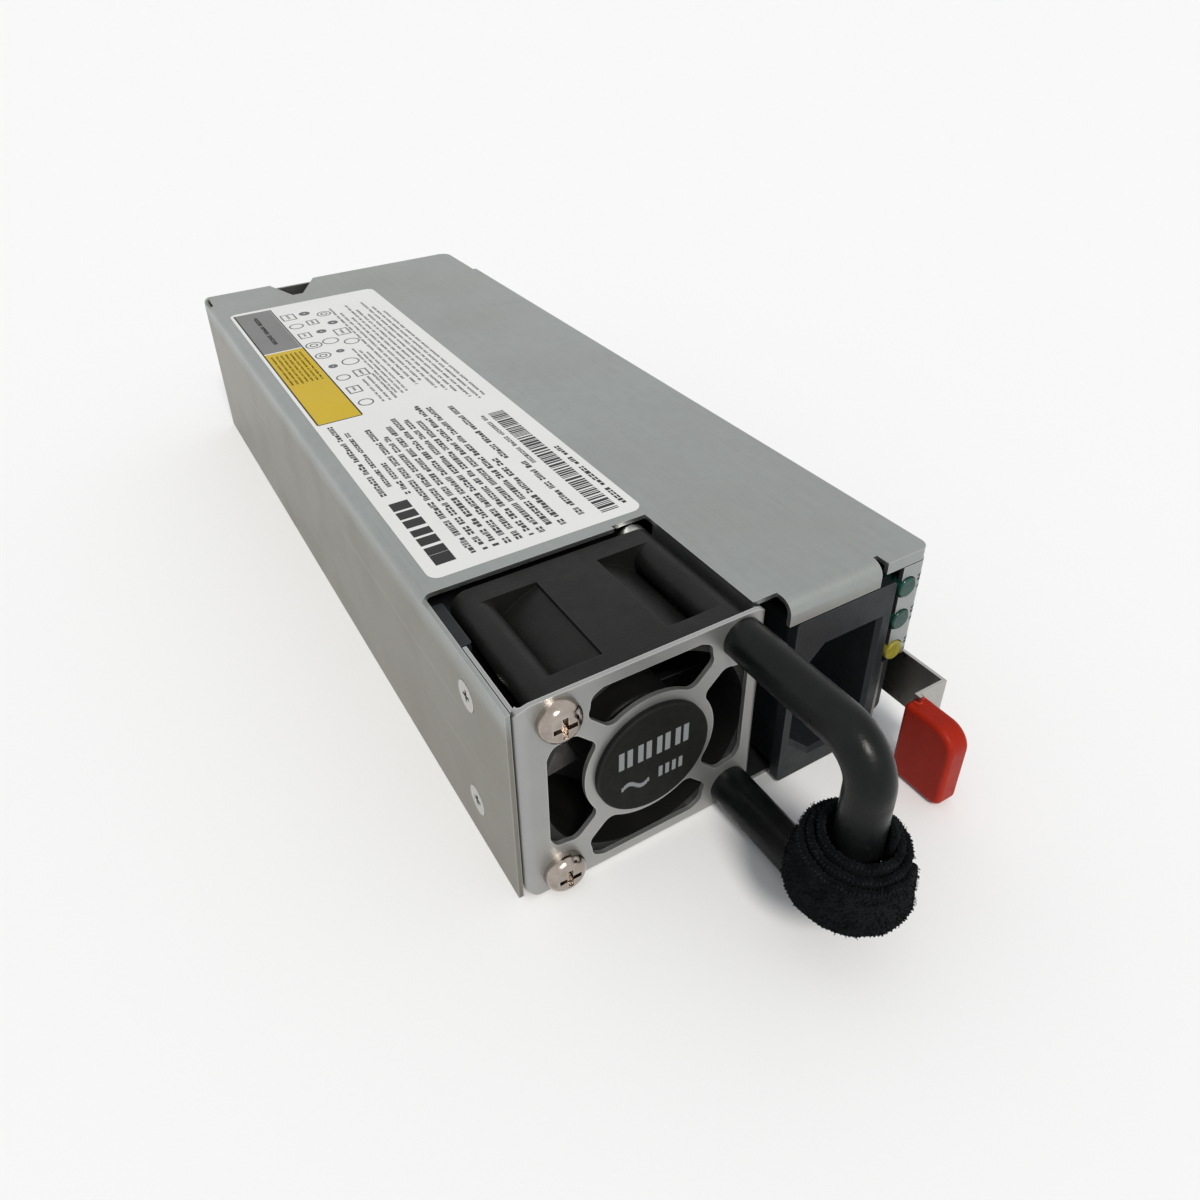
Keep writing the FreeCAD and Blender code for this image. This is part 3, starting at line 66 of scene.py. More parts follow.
def make_camera():
    """Camera in front of the supply, to its left and above it."""
    data = bpy.data.cameras.new("camera")
    data.sensor_width = 36.0
    data.lens = 27.51
    data.shift_x = 0.0319
    data.shift_y = -0.0772
    data.clip_start = 0.005
    camera = bpy.data.objects.new("camera", data)
    camera.location = (-0.0731, -0.17575, 0.12672)
    camera.rotation_euler = [math.radians(a) for a in (57.684, 1.536, -29.777)]
    bpy.context.scene.collection.objects.link(camera)
    bpy.context.scene.camera = camera


def sun(name, strength, width, turn, tilt, colour):
    """Soft parallel light from a compass turn and a tilt away from straight down."""
    data = bpy.data.lights.new(name, "SUN")
    data.energy = strength
    data.angle = math.radians(width)
    data.color = colour
    light = bpy.data.objects.new(name, data)
    light.rotation_euler = (0.0, math.radians(tilt), math.radians(turn))
    bpy.context.scene.collection.objects.link(light)


def make_world():
    """White surroundings for the camera and for reflections, softer as light."""
    world = bpy.data.worlds.new("world")
    bpy.context.scene.world = world
    world.use_nodes = True
    nodes = world.node_tree.nodes
    links = world.node_tree.links
    lighting = nodes["Background"]
    lighting.inputs["Color"].default_value = (0.93, 0.96, 1.0, 1.0)
    lighting.inputs["Strength"].default_value = 0.64
    seen = nodes.new("ShaderNodeBackground")
    seen.inputs["Color"].default_value = (0.885, 0.885, 0.885, 1.0)
    seen.inputs["Strength"].default_value = 1.0
    path = nodes.new("ShaderNodeLightPath")
    direct = path.outputs["Is Camera Ray"]
    for ray in ("Is Glossy Ray", "Is Transmission Ray"):
        either = nodes.new("ShaderNodeMath")
        either.operation = "MAXIMUM"
        links.new(direct, either.inputs[0])
        links.new(path.outputs[ray], either.inputs[1])
        direct = either.outputs[0]
    mix = nodes.new("ShaderNodeMixShader")
    links.new(direct, mix.inputs[0])
    links.new(lighting.outputs[0], mix.inputs[1])
    links.new(seen.outputs[0], mix.inputs[2])
    links.new(mix.outputs[0], nodes["World Output"].inputs["Surface"])


def make_floor():
    """Plain pale floor, wide enough to fill every view."""
    half = 8.0
    gap = 0.05 * MM
    mesh = bpy.data.meshes.new("floor")
    corners = [(-half, -half, 0), (half, -half, 0), (half, half, 0), (-half, half, 0)]
    mesh.from_pydata(corners, [], [(0, 1, 2, 3)])
    floor = bpy.data.objects.new("floor", mesh)
    floor.location.z = cad_box[0][2] - gap
    bpy.context.scene.collection.objects.link(floor)
    finish = bpy.data.materials.new("floor")
    finish.use_nodes = True
    shader = finish.node_tree.nodes["Principled BSDF"]
    shader.inputs["Base Color"].default_value = (0.87, 0.87, 0.87, 1.0)
    shader.inputs["Roughness"].default_value = 0.9
    shader.inputs["Specular IOR Level"].default_value = 0.1
    mesh.materials.append(finish)


# ---------------------------------------------------------------- finishes

# Places of the first value, the second value and the result among a Mix node's sockets.
MIX_COLOURS = (6, 7, 2)
MIX_NUMBERS = (2, 3, 0)

# Noise values at which a mask begins and is full.
EVEN = (0.3, 0.7)
CLOUDS = (0.4, 0.7)
PATCHES = (0.42, 0.66)

# Stretch that turns a noise into lines along the object.
LINES_ALONG = (1, 0.1, 1)


class Finish:
    """A material with calls that add texture to its colour, gloss and relief."""

    def __init__(self, name, colour, roughness, metallic=0.0, **sockets):
        self.material = bpy.data.materials.new(name)
        self.material.use_nodes = True
        self.nodes = self.material.node_tree.nodes
        self.links = self.material.node_tree.links
        self.shader = self.nodes["Principled BSDF"]
        self.set("Base Color", (*colour, 1.0))
        self.set("Roughness", roughness)
        self.set("Metallic", metallic)
        for socket, value in sockets.items():
            self.set(socket.replace("_", " "), value)
        coordinates = self.nodes.new("ShaderNodeTexCoord")
        self.place = coordinates.outputs["Object"]
        self.normal = None

    def set(self, socket, value):
        """Gives a shader socket one value all over."""
        self.shader.inputs[socket].default_value = value

    def stretched(self, scale):
        """Object coordinates, scaled along each axis."""
        mapping = self.nodes.new("ShaderNodeMapping")
        mapping.inputs["Scale"].default_value = scale
        self.links.new(self.place, mapping.inputs["Vector"])
        return mapping.outputs["Vector"]

    def ranged(self, source, low, high):
        """Value mapped from low and high to 0 and 1."""
        node = self.nodes.new("ShaderNodeMapRange")
        node.inputs["From Min"].default_value = low
        node.inputs["From Max"].default_value = high
        self.links.new(source, node.inputs["Value"])
        return node.outputs["Result"]

    def noise(self, size, span=EVEN, stretch=(1, 1, 1)):
        """Cloudy mask whose patches are about size millimetres across."""
        node = self.nodes.new("ShaderNodeTexNoise")
        node.inputs["Scale"].default_value = 1.0 / (size * MM)
        node.inputs["Detail"].default_value = 3.0
        self.links.new(self.stretched(stretch), node.inputs["Vector"])
        return self.ranged(node.outputs["Fac"], *span)

    def height(self, none, full):
        """Mask that rises from one height on the object to another, in metres."""
        split = self.nodes.new("ShaderNodeSeparateXYZ")
        self.links.new(self.place, split.inputs[0])
        return self.ranged(split.outputs["Z"], none, full)

    def cells(self, size):
        """Mask of rounded cells about size millimetres across."""
        node = self.nodes.new("ShaderNodeTexVoronoi")
        node.inputs["Scale"].default_value = 1.0 / (size * MM)
        self.links.new(self.place, node.inputs["Vector"])
        return self.ranged(node.outputs["Distance"], 0.0, 0.6)

    def waves(self, size, span):
        """Mask of bands across the object, size millimetres apart."""
        period_at_scale_one = 0.314
        node = self.nodes.new("ShaderNodeTexWave")
        node.bands_direction = "X"
        node.inputs["Scale"].default_value = period_at_scale_one / (size * MM)
        self.links.new(self.place, node.inputs["Vector"])
        return self.ranged(node.outputs["Fac"], *span)

    def edges(self, radius, full=0.12):
        """Mask along every edge, about radius millimetres wide; a lower full makes it sharper."""
        bevel = self.nodes.new("ShaderNodeBevel")
        bevel.samples = 4
        bevel.inputs["Radius"].default_value = radius * MM
        flat = self.nodes.new("ShaderNodeNewGeometry")
        dot = self.nodes.new("ShaderNodeVectorMath")
        dot.operation = "DOT_PRODUCT"
        self.links.new(bevel.outputs["Normal"], dot.inputs[0])
        self.links.new(flat.outputs["True Normal"], dot.inputs[1])
        return self.ranged(dot.outputs["Value"], 1.0, 1.0 - full)

    def both(self, first, second):
        """Mask where two masks overlap."""
        node = self.nodes.new("ShaderNodeMath")
        node.operation = "MULTIPLY"
        node.use_clamp = True
        self.links.new(first, node.inputs[0])
        self.links.new(second, node.inputs[1])
        return node.outputs[0]

    def share(self, mask, amount):
        """Mask made weaker."""
        node = self.nodes.new("ShaderNodeMath")
        node.operation = "MULTIPLY"
        node.inputs[1].default_value = amount
        self.links.new(mask, node.inputs[0])
        return node.outputs[0]

    def blend(self, name, kind, places, mask, value, amount):
        """Turns a shader socket towards a value where the mask is."""
        first, second, result = places
        mix = self.nodes.new("ShaderNodeMix")
        mix.data_type = kind
        self.links.new(self.share(mask, amount), mix.inputs[0])
        socket = self.shader.inputs[name]
        if socket.links:
            self.links.new(socket.links[0].from_socket, mix.inputs[first])
        else:
            mix.inputs[first].default_value = socket.default_value
        mix.inputs[second].default_value = value
        self.links.new(mix.outputs[result], socket)

    def tint(self, mask, colour, amount):
        """Turns the colour towards another where the mask is."""
        self.blend("Base Color", "RGBA", MIX_COLOURS, mask, (*colour, 1.0), amount)

    def gloss(self, mask, roughness, amount):
        """Turns the roughness towards another where the mask is."""
        self.blend("Roughness", "FLOAT", MIX_NUMBERS, mask, roughness, amount)

    def relief(self, mask, depth):
        """Raises the surface where the mask is, by depth in millimetres."""
        bump = self.nodes.new("ShaderNodeBump")
        bump.inputs["Distance"].default_value = depth * MM
        bump.inputs["Strength"].default_value = 1.0
        self.links.new(mask, bump.inputs["Height"])
        if self.normal is not None:
            self.links.new(self.normal, bump.inputs["Normal"])
        self.normal = bump.outputs["Normal"]
        self.links.new(self.normal, self.shader.inputs["Normal"])


def shade(colour, factor):
    """A colour made darker or brighter."""
    return [channel * factor for channel in colour]


def case_sheet(name, colour, painted_wall_reflection=None):
    """Zinc-coated sheet with a rolled grain, a faint spangle, stains and rubbed edges.

    With a painted wall reflection, the walls turn to it under the top's bend: painted warm
    reflection and shade, with more painted shade in patches low down.
    """
    f = Finish(name, colour, roughness=0.38, metallic=1.0)
    f.tint(f.noise(2.6, (0.4, 0.6)), shade(colour, 1.13), 0.35)
    stain = [channel * factor for channel, factor in zip(colour, (0.88, 0.83, 0.78))]
    f.tint(f.noise(60, (0.42, 0.68)), stain, 0.55)
    grain = f.noise(0.5, stretch=(1, 0.03, 1))
    f.tint(grain, shade(colour, 1.18), 0.25)
    f.gloss(f.noise(18, (0.45, 0.7)), 0.46, 0.7)
    f.gloss(f.noise(0.9, (0.62, 0.72), stretch=(1, 0.015, 1)), 0.22, 0.35)
    if painted_wall_reflection:
        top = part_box("top_cover")[1].z
        under_bend = top - 2.2 * MM
        flat_wall = top - 6.0 * MM
        # Painted warm reflection and shade on the walls below the top's bend.
        f.tint(f.height(under_bend, flat_wall), painted_wall_reflection, 0.9)
        # Painted shade: patches that grow darker towards the bottom of the walls.
        low_painted_shade = f.both(f.height(top / 2, 0.0), f.noise(22, (0.35, 0.65)))
        f.tint(low_painted_shade, shade(painted_wall_reflection, 0.8), 0.7)
    f.tint(f.edges(0.25), (0.62, 0.62, 0.60), 0.6)
    f.relief(grain, 0.004)
    f.relief(f.noise(0.16), 0.003)
    return f.material


def bezel_sheet():
    """Smooth grey coat on sheet, with a fine orange-peel and bright rubbed rims."""
    f = Finish("bezel_sheet", (0.345, 0.350, 0.346), roughness=0.38, metallic=0.8)
    f.tint(f.noise(9, (0.4, 0.65)), (0.41, 0.405, 0.385), 0.4)
    f.gloss(f.noise(3, CLOUDS), 0.5, 0.5)
    f.tint(f.edges(0.3), (0.66, 0.67, 0.66), 0.75)
    f.relief(f.noise(0.45), 0.006)
    return f.material


def badge_black():
    """Fine matt moulding of the badge."""
    f = Finish("badge_black", (0.0064, 0.0068, 0.0060), roughness=0.55,
               Specular_IOR_Level=0.10)
    f.tint(f.noise(1.8, CLOUDS), (0.0115, 0.0120, 0.0110), 0.5)
    f.gloss(f.noise(0.7, CLOUDS), 0.68, 0.6)
    f.relief(f.noise(0.22), 0.018)
    f.tint(f.edges(0.25), (0.09, 0.095, 0.10), 0.6)
    return f.material


def moulded_black(name, colour, roughness, grain, rim):
    """Black moulding with a spark-eroded grain and paler corners."""
    f = Finish(name, colour, roughness, Specular_IOR_Level=0.19)
    f.tint(f.noise(7, CLOUDS), [c * 1.35 + 0.002 for c in colour], 0.7)
    f.gloss(f.noise(2.2, CLOUDS), roughness + 0.14, 0.8)
    f.relief(f.noise(grain), 0.02)
    f.tint(f.edges(0.3), rim, 0.5)
    return f.material


def plain_metal(name, colour, roughness, stretch=(1, 1, 1)):
    """Bare metal with a fine machined grain."""
    f = Finish(name, colour, roughness, metallic=1.0)
    grain = f.noise(0.3, stretch=stretch)
    f.tint(grain, shade(colour, 0.8), 0.5)
    f.gloss(f.noise(1.6, CLOUDS), roughness + 0.14, 0.6)
    f.tint(f.edges(0.2), [min(1.0, c * 1.25) for c in colour], 0.25)
    f.relief(grain, 0.004)
    return f.material


def spring_strip():
    """Rolled spring strip: fine lengthwise lines and a thin oil film."""
    f = Finish("spring_steel", (0.42, 0.412, 0.386), roughness=0.27, metallic=1.0)
    lines = f.noise(0.25, stretch=(1, 0.02, 1))
    f.tint(lines, (0.52, 0.51, 0.485), 0.4)
    f.tint(f.noise(9, (0.42, 0.7)), (0.36, 0.345, 0.315), 0.4)
    f.gloss(f.noise(6, CLOUDS), 0.36, 0.5)
    f.tint(f.edges(0.15), (0.66, 0.65, 0.62), 0.4)
    f.relief(lines, 0.002)
    return f.material


def plated_screw():
    """Bright plated steel, warmed by a painted reflection, with brown patches of painted reflection
    and dull patches.
    """
    # Painted reflection: the warm base colour and the brown patches below stand for warm
    # surroundings seen in the plating.
    f = Finish("screw_chrome", (0.41, 0.362, 0.322), roughness=0.12, metallic=1.0)
    f.tint(f.noise(1.6, PATCHES), (0.27, 0.215, 0.18), 0.5)
    f.gloss(f.noise(0.8, CLOUDS), 0.34, 0.7)
    f.tint(f.edges(0.35, 0.2), (0.80, 0.76, 0.72), 0.6)
    f.relief(f.noise(0.5), 0.012)
    return f.material


def handle_black():
    """Satin coat on the bent bar, rubbed thin and brownish in a few spots."""
    f = Finish("handle_black", (0.0042, 0.0048, 0.0050), roughness=0.28,
               Specular_IOR_Level=0.17)
    f.tint(f.noise(6, (0.45, 0.7)), (0.0085, 0.0092, 0.0095), 0.6)
    rubbed = f.both(f.noise(3.4, (0.62, 0.7)), f.noise(11, (0.52, 0.62)))
    f.tint(rubbed, (0.034, 0.031, 0.026), 0.6)
    f.gloss(f.noise(2.4, CLOUDS), 0.46, 0.7)
    f.gloss(f.noise(0.35, (0.62, 0.7), stretch=(1, 1, 0.15)), 0.22, 0.4)
    f.relief(f.noise(0.5), 0.012)
    return f.material


def loop_pile(name, colour):
    """Brushed loop pile over a woven ground."""
    f = Finish(name, colour, roughness=0.96, Specular_IOR_Level=0.04, Sheen_Weight=0.02,
               Sheen_Roughness=0.45, Sheen_Tint=(0.75, 0.8, 0.85, 1.0))
    loops = f.cells(0.42)
    f.tint(loops, shade(colour, 2.4), 0.6)
    f.tint(f.noise(2.2, PATCHES), shade(colour, 0.5), 0.6)
    f.relief(loops, 0.16)
    f.relief(f.noise(0.3), 0.10)
    return f.material


def tab_red():
    """Semi-matt red moulding with a painted highlight along its rim, which also stands for a little
    wear.
    """
    f = Finish("tab_red", (0.27, 0.0100, 0.002), roughness=0.38, Specular_IOR_Level=0.12,
               Subsurface_Weight=0.12, Subsurface_Radius=(0.004, 0.0012, 0.0008),
               Subsurface_Scale=0.4)
    f.tint(f.noise(5, PATCHES), (0.30, 0.013, 0.003), 0.6)
    f.gloss(f.noise(1.4, CLOUDS), 0.52, 0.7)
    # Painted highlight: bright red along every edge, partly standing for wear.
    f.tint(f.edges(0.7, 0.2), (0.92, 0.115, 0.06), 0.75)
    f.relief(f.noise(0.28), 0.015)
    return f.material


def lamp_lens(name, colour, deep):
    """Tinted lens, deeper in patches, which lets a little light through."""
    f = Finish(name, colour, roughness=0.12, Specular_IOR_Level=0.22, Coat_Weight=0.12,
               Coat_Roughness=0.06, Transmission_Weight=0.10)
    f.tint(f.noise(1.1, (0.35, 0.65)), deep, 0.7)
    f.gloss(f.noise(0.6, CLOUDS), 0.24, 0.6)
    f.relief(f.noise(0.5), 0.01)
    return f.material


def paper(name, colour, roughness=0.42):
    """Film or ink with a faint fibre, a soft gloss and low waves."""
    f = Finish(name, colour, roughness, Specular_IOR_Level=0.3)
    f.tint(f.noise(14, (0.35, 0.7)), shade(colour, 0.93), 0.6)
    f.tint(f.noise(0.35), shade(colour, 0.96), 0.5)
    f.gloss(f.noise(9, CLOUDS), roughness + 0.12, 0.6)
    f.relief(f.noise(12), 0.05)
    f.relief(f.noise(0.25), 0.002)
    return f.material


def board_green():
    """Solder resist with fine tracks in it."""
    f = Finish("board_green", (0.012, 0.085, 0.04), roughness=0.32)
    tracks = f.both(f.waves(1.3, (0.6, 0.7)), f.noise(9, (0.48, 0.52)))
    f.tint(tracks, (0.02, 0.15, 0.07), 0.7)
    f.gloss(f.noise(3, CLOUDS), 0.45, 0.6)
    f.relief(tracks, 0.03)
    return f.material


def simple(name, colour, roughness, size=1.5, depth=0.01):
    """Plain plastic, ceramic or film with a little variation and relief."""
    f = Finish(name, colour, roughness)
    f.tint(f.noise(size * 4, CLOUDS), shade(colour, 0.82), 0.6)
    f.gloss(f.noise(size, CLOUDS), min(1.0, roughness + 0.15), 0.7)
    f.relief(f.noise(size / 4), depth)
    return f.material


def make_finishes():
    """Every material slot of the record with its finish."""
    return {
        # The cover's second colour is painted warm reflection and shade for its walls.
        "case_sheet": case_sheet("case_sheet", (0.330, 0.352, 0.346), (0.222, 0.211, 0.178)),
        "bezel_sheet": bezel_sheet(),
        "badge_black": badge_black(),
        "fan_black": moulded_black("fan_black", (0.0078, 0.0078, 0.0074), 0.40, 0.3,
                                   (0.038, 0.038, 0.037)),
        "steel": plain_metal("steel", (0.52, 0.52, 0.50), 0.3),
        "copper": plain_metal("copper", (0.55, 0.24, 0.12), 0.3, (1, 1, 0.2)),
        "screw_chrome": plated_screw(),
        "handle_black": handle_black(),
        "strap_black": loop_pile("strap_black", (0.0030, 0.0037, 0.0040)),
        "inlet_black": moulded_black("inlet_black", (0.0105, 0.0130, 0.0145), 0.38, 0.35,
                                     (0.06, 0.063, 0.064)),
        "brass": plain_metal("brass", (0.62, 0.56, 0.42), 0.24, LINES_ALONG),
        "wire_blue": simple("wire_blue", (0.03, 0.09, 0.3), 0.4),
        "lamp_green": lamp_lens("lamp_green", (0.008, 0.058, 0.042), (0.004, 0.024, 0.020)),
        "lamp_amber": lamp_lens("lamp_amber", (0.30, 0.265, 0.030), (0.18, 0.155, 0.018)),
        "board_green": board_green(),
        "spring_steel": spring_strip(),
        "tab_red": tab_red(),
        "liner": simple("liner", (0.05, 0.05, 0.052), 0.35, 3.0),
        "gold": plain_metal("gold", (0.83, 0.60, 0.22), 0.2, LINES_ALONG),
        "aluminium": plain_metal("aluminium", (0.62, 0.63, 0.64), 0.34, (1, 0.05, 1)),
        "package_black": simple("package_black", (0.02, 0.02, 0.021), 0.55),
        "can_sleeve": simple("can_sleeve", (0.015, 0.016, 0.02), 0.28),
        "ferrite": simple("ferrite", (0.055, 0.055, 0.058), 0.7, 0.8, 0.03),
        "winding_tape": simple("winding_tape", (0.55, 0.40, 0.05), 0.3),
        "film_yellow": simple("film_yellow", (0.62, 0.42, 0.03), 0.4),
        "relay_white": simple("relay_white", (0.68, 0.68, 0.65), 0.4),
        "ceramic_white": simple("ceramic_white", (0.72, 0.71, 0.68), 0.5),
        "label_white": paper("label_white", (0.70, 0.702, 0.69)),
    }


def dress_nodes(finishes):
    """Gives every CAD node the finish of its slot, and the tray one without the painted wall
    reflection and shade.
    """
    tray_sheet = case_sheet("tray_sheet", (0.335, 0.352, 0.352))
    for row in frame["record"]["subparts"]:
        node = frame["nodes"][row["node"]]
        finish = finishes[row["material_slot"]]
        if row["node"] == "chassis_tray":
            finish = tray_sheet
        if node.data.materials:
            node.data.materials[0] = finish
        else:
            node.data.materials.append(finish)


# ---------------------------------------------------------------- pieces

def add_piece(name, vertices, faces, finish, body, smooth=False):
    """Mesh piece in metres that rides on a body."""
    mesh = bpy.data.meshes.new(name)
    mesh.from_pydata(vertices, [], faces)
    mesh.polygons.foreach_set("use_smooth", [smooth] * len(mesh.polygons))
    mesh.materials.append(finish)
    piece = bpy.data.objects.new(name, mesh)
    bpy.context.scene.collection.objects.link(piece)
    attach(piece, body)
    return piece


class Blocks:
    """Many small boxes gathered into one mesh."""

    def __init__(self):
        self.vertices = []
        self.faces = []

    def add(self, x0, x1, y0, y1, z0, z1):
        """Adds a box between two corners."""
        base = len(self.vertices)
        self.vertices += [(x, y, z) for z in (z0, z1) for y in (y0, y1) for x in (x0, x1)]
        quads = [(0, 2, 3, 1), (4, 5, 7, 6), (0, 1, 5, 4), (2, 6, 7, 3), (0, 4, 6, 2),
                 (1, 3, 7, 5)]
        self.faces += [tuple(base + i for i in quad) for quad in quads]

    def ring(self, centre, outer, inner, z0, z1):
        """Adds a flat ring."""
        sides = 28
        base = len(self.vertices)
        for z in (z0, z1):
            for radius in (inner, outer):
                for k in range(sides):
                    angle = 2 * math.pi * k / sides
                    self.vertices.append((centre[0] + radius * math.cos(angle),
                                          centre[1] + radius * math.sin(angle), z))
        for k in range(sides):
            m = (k + 1) % sides
            low_in, low_out, top_in, top_out = [base + n * sides for n in range(4)]
            self.faces.append((top_in + k, top_out + k, top_out + m, top_in + m))
            self.faces.append((low_in + k, low_in + m, low_out + m, low_out + k))
            self.faces.append((low_out + k, low_out + m, top_out + m, top_out + k))
            self.faces.append((low_in + m, low_in + k, top_in + k, top_in + m))


# ---------------------------------------------------------------- label, badge and lamp marks

def rounded_outline(x0, x1, y0, y1, radius):
    """Corner-rounded rectangle as a closed list of (x, y)."""
    steps = 6
    points = []
    centres = [(x1 - radius, y1 - radius), (x0 + radius, y1 - radius),
               (x0 + radius, y0 + radius), (x1 - radius, y0 + radius)]
    for corner, (cx, cy) in enumerate(centres):
        for step in range(steps + 1):
            angle = math.radians(90 * (corner + step / steps))
            points.append((cx + radius * math.cos(angle), cy + radius * math.sin(angle)))
    return points


def label_place():
    """Lowest and highest corner of the label, in metres."""
    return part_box("rating_label")


INK = 0.03 * MM


class Print:
    """Ink on the label, in millimetres: u runs from its front edge to the rear, v from its left."""

    def __init__(self, seed):
        self.low, self.high = label_place()
        self.blocks = Blocks()
        self.random = random.Random(seed)

    def bar(self, u0, u1, v0, v1):
        """Solid bar of ink."""
        x = self.low.x
        y = self.low.y
        self.blocks.add(x + v0 * MM, x + v1 * MM, y + u0 * MM, y + u1 * MM,
                        self.high.z - INK, self.high.z)

    def mark(self, u0, u1, v0, v1):
        """One mark of a row: whole, low, split across or split along."""
        stroke = 0.4
        lowered = 0.25
        kind = self.random.choice(("whole", "low", "across", "across", "along", "along"))
        if kind == "across":
            side = (v1 - v0) * stroke
            self.bar(u0, u1, v0, v0 + side)
            self.bar(u0, u1, v1 - side, v1)
        elif kind == "along":
            side = (u1 - u0) * stroke
            self.bar(u0, u0 + side, v0, v1)
            self.bar(u1 - side, u1, v0, v1)
        elif kind == "low":
            self.bar(u0, u1, v0 + (v1 - v0) * lowered, v1)
        else:
            self.bar(u0, u1, v0, v1)

    def line(self, u0, u1, v, height, mark):
        """Row of short marks in uneven groups, which stands for a line of small print."""
        gap = mark * 0.25
        space = mark * 0.9
        u = u1
        while u - mark > u0:
            marks_in_group = self.random.randint(3, 9)
            for _ in range(marks_in_group):
                width = mark * self.random.uniform(0.6, 1.15)
                if u - width < u0:
                    break
                self.mark(u - width, u, v, v + height)
                u -= width + gap
            u -= space

    def frame(self, u0, u1, v0, v1, line):
        """Outline of a rectangle."""
        self.bar(u0, u1, v0, v0 + line)
        self.bar(u0, u1, v1 - line, v1)
        self.bar(u0, u0 + line, v0 + line, v1 - line)
        self.bar(u1 - line, u1, v0 + line, v1 - line)

    def ring(self, u, v, radius, line):
        """Plain ring."""
        centre = (self.low.x + v * MM, self.low.y + u * MM)
        self.blocks.ring(centre, radius * MM, (radius - line) * MM,
                         self.high.z - INK, self.high.z)

    def sign(self, u, v, size):
        """Small plain sign about a point: rings, a disc, a frame or a frame with bars in it."""
        half = size / 2
        line = 0.35
        kind = self.random.choice(("rings", "ring", "disc", "frame", "bars", "bars"))
        if kind == "disc":
            self.ring(u, v, half * 0.62, half * 0.5)
        elif kind in ("rings", "ring"):
            self.ring(u, v, half, line)
            if kind == "rings":
                self.ring(u, v, half * 0.5, line)
        else:
            self.frame(u - half, u + half, v - half * 0.8, v + half * 0.8, line)
            if kind == "bars":
                self.line(u - half + 2 * line, u + half - 2 * line, v - 0.3,
                          height=0.6, mark=0.55)

    def stripes(self, u0, u1, v0, v1):
        """Run of thin and thick stripes across the row."""
        u = u0
        while u < u1:
            width = self.random.choice((0.25, 0.25, 0.5, 0.75))
            self.bar(u, min(u + width, u1), v0, v1)
            u += width + self.random.choice((0.25, 0.25, 0.5))

    def piece(self, name, finish):
        """The ink as one piece on the case."""
        piece = add_piece(name, self.blocks.vertices, self.blocks.faces, finish, "case")
        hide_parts("rating_label")


def label_film(finish):
    """White film with rounded corners, a little under the top of the ink."""
    low, high = label_place()
    outline = rounded_outline(low.x, high.x, low.y, high.y, 2.0 * MM)
    top = high.z - 0.02 * MM
    count = len(outline)
    vertices = [(x, y, low.z) for x, y in outline] + [(x, y, top) for x, y in outline]
    faces = [tuple(range(count - 1, -1, -1)), tuple(range(count, 2 * count))]
    faces += [(i, (i + 1) % count, count + (i + 1) % count, count + i) for i in range(count)]
    film = add_piece("label_film", vertices, faces, finish, "case")
    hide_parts("rating_label")


def label_fields():
    """Grey and yellow fields along the left edge, with thin rules round them."""
    rear = 138.4
    front = 62.6
    left = 1.0
    rule = 0.35
    grey = Print(1)
    grey.bar(107.2, rear, left, 10.4)
    grey.piece("label_grey_block", paper("label_grey", (0.165, 0.168, 0.163)))
    yellow = Print(2)
    yellow.bar(front, 106.6, left, 10.6)
    yellow.piece("label_yellow_block", paper("label_yellow", (0.53, 0.365, 0.003)))
    black = Print(3)
    for v in (0.75, 10.5):
        black.bar(front, rear, v, v + rule)
    black.bar(62.3, front, left, 10.6)
    black.piece("label_rules", paper("label_black", (0.012, 0.012, 0.013)))


def label_heading():
    """Thick bars at the front left corner, and stripes and a row near the right edge."""
    first = 3.2
    pitch = 3.15
    heading = Print(4)
    for n, width in enumerate((3.06, 2.34, 2.52, 2.16, 2.52, 2.52, 2.88)):
        start = first + n * pitch
        heading.bar(start, start + width, 2.3, 5.9)
    heading.stripes(2.4, 48.4, 33.4, 36.9)
    heading.line(2.6, 28.0, 38.0, height=1.0, mark=1.0)
    heading.piece("label_heading", bpy.data.materials["label_black"])


def label_rows():
    """Rows of marks on the front half of the label."""
    spans = ((2.5, 55), (2.5, 50), (2.5, 54), (2.5, 57), (2.5, 55), (2.5, 53),
             (2.5, 60), (2.5, 58), (2.5, 30), (28.5, 56), (3.5, 26))
    first = 8.4
    pitch = 2.12
    rows = Print(5)
    rows.line(26.0, 60.5, 2.2, height=1.1, mark=1.0)
    rows.line(30.0, 56.0, 4.4, height=0.9, mark=0.75)
    rows.line(26.0, 40.0, 6.4, height=1.0, mark=0.9)
    for n, (u0, u1) in enumerate(spans):
        rows.line(u0, u1, first + n * pitch, height=1.15, mark=0.85)
    rows.piece("label_rows", paper("label_ink", (0.035, 0.035, 0.037)))


def label_fine_rows():
    """Finer rows and three rows of small signs, most of them on the rear half of the label."""
    starts = (74, 70, 72, 66, 64, 62, 58, 56, 57)
    sign_rows = ((68.0, 9), (84.0, 7), (104.0, 4))
    fine = Print(6)
    # On the yellow field, then along the right edge.
    for n in range(7):
        fine.line(85.0, 104.5, 2.0 + n * 1.15, height=0.45, mark=0.5)
    for n, start in enumerate(starts):
        fine.line(start, 130.0 - (n % 3) * 5, 24.6 + n * 1.5, height=0.6, mark=0.6)
    fine.line(24.0, 48.0, 31.4, height=0.9, mark=0.8)
    # The signs, the rows among them and the row on the grey field.
    for row, (first, count) in enumerate(sign_rows):
        for n in range(count):
            fine.sign(first + n * 7.7, 13.4 + row * 4.5, fine.random.uniform(3.4, 4.8))
    for n in range(3):
        fine.line(66.0, 80.0 + n, 16.6 + n * 1.5, height=0.55, mark=0.5)
        fine.line(68.0, 99.0 - n * 2, 20.6 + n * 1.2, height=0.5, mark=0.5)
    fine.line(112.0, 134.0, 5.0, height=1.0, mark=0.9)
    fine.piece("label_fine_rows", paper("label_fine", (0.10, 0.10, 0.105)))


def make_label(finishes):
    """The label: a white film with fields, marks and rows in place of its print."""
    label_film(finishes["label_white"])
    label_fields()
    label_heading()
    label_rows()
    label_fine_rows()


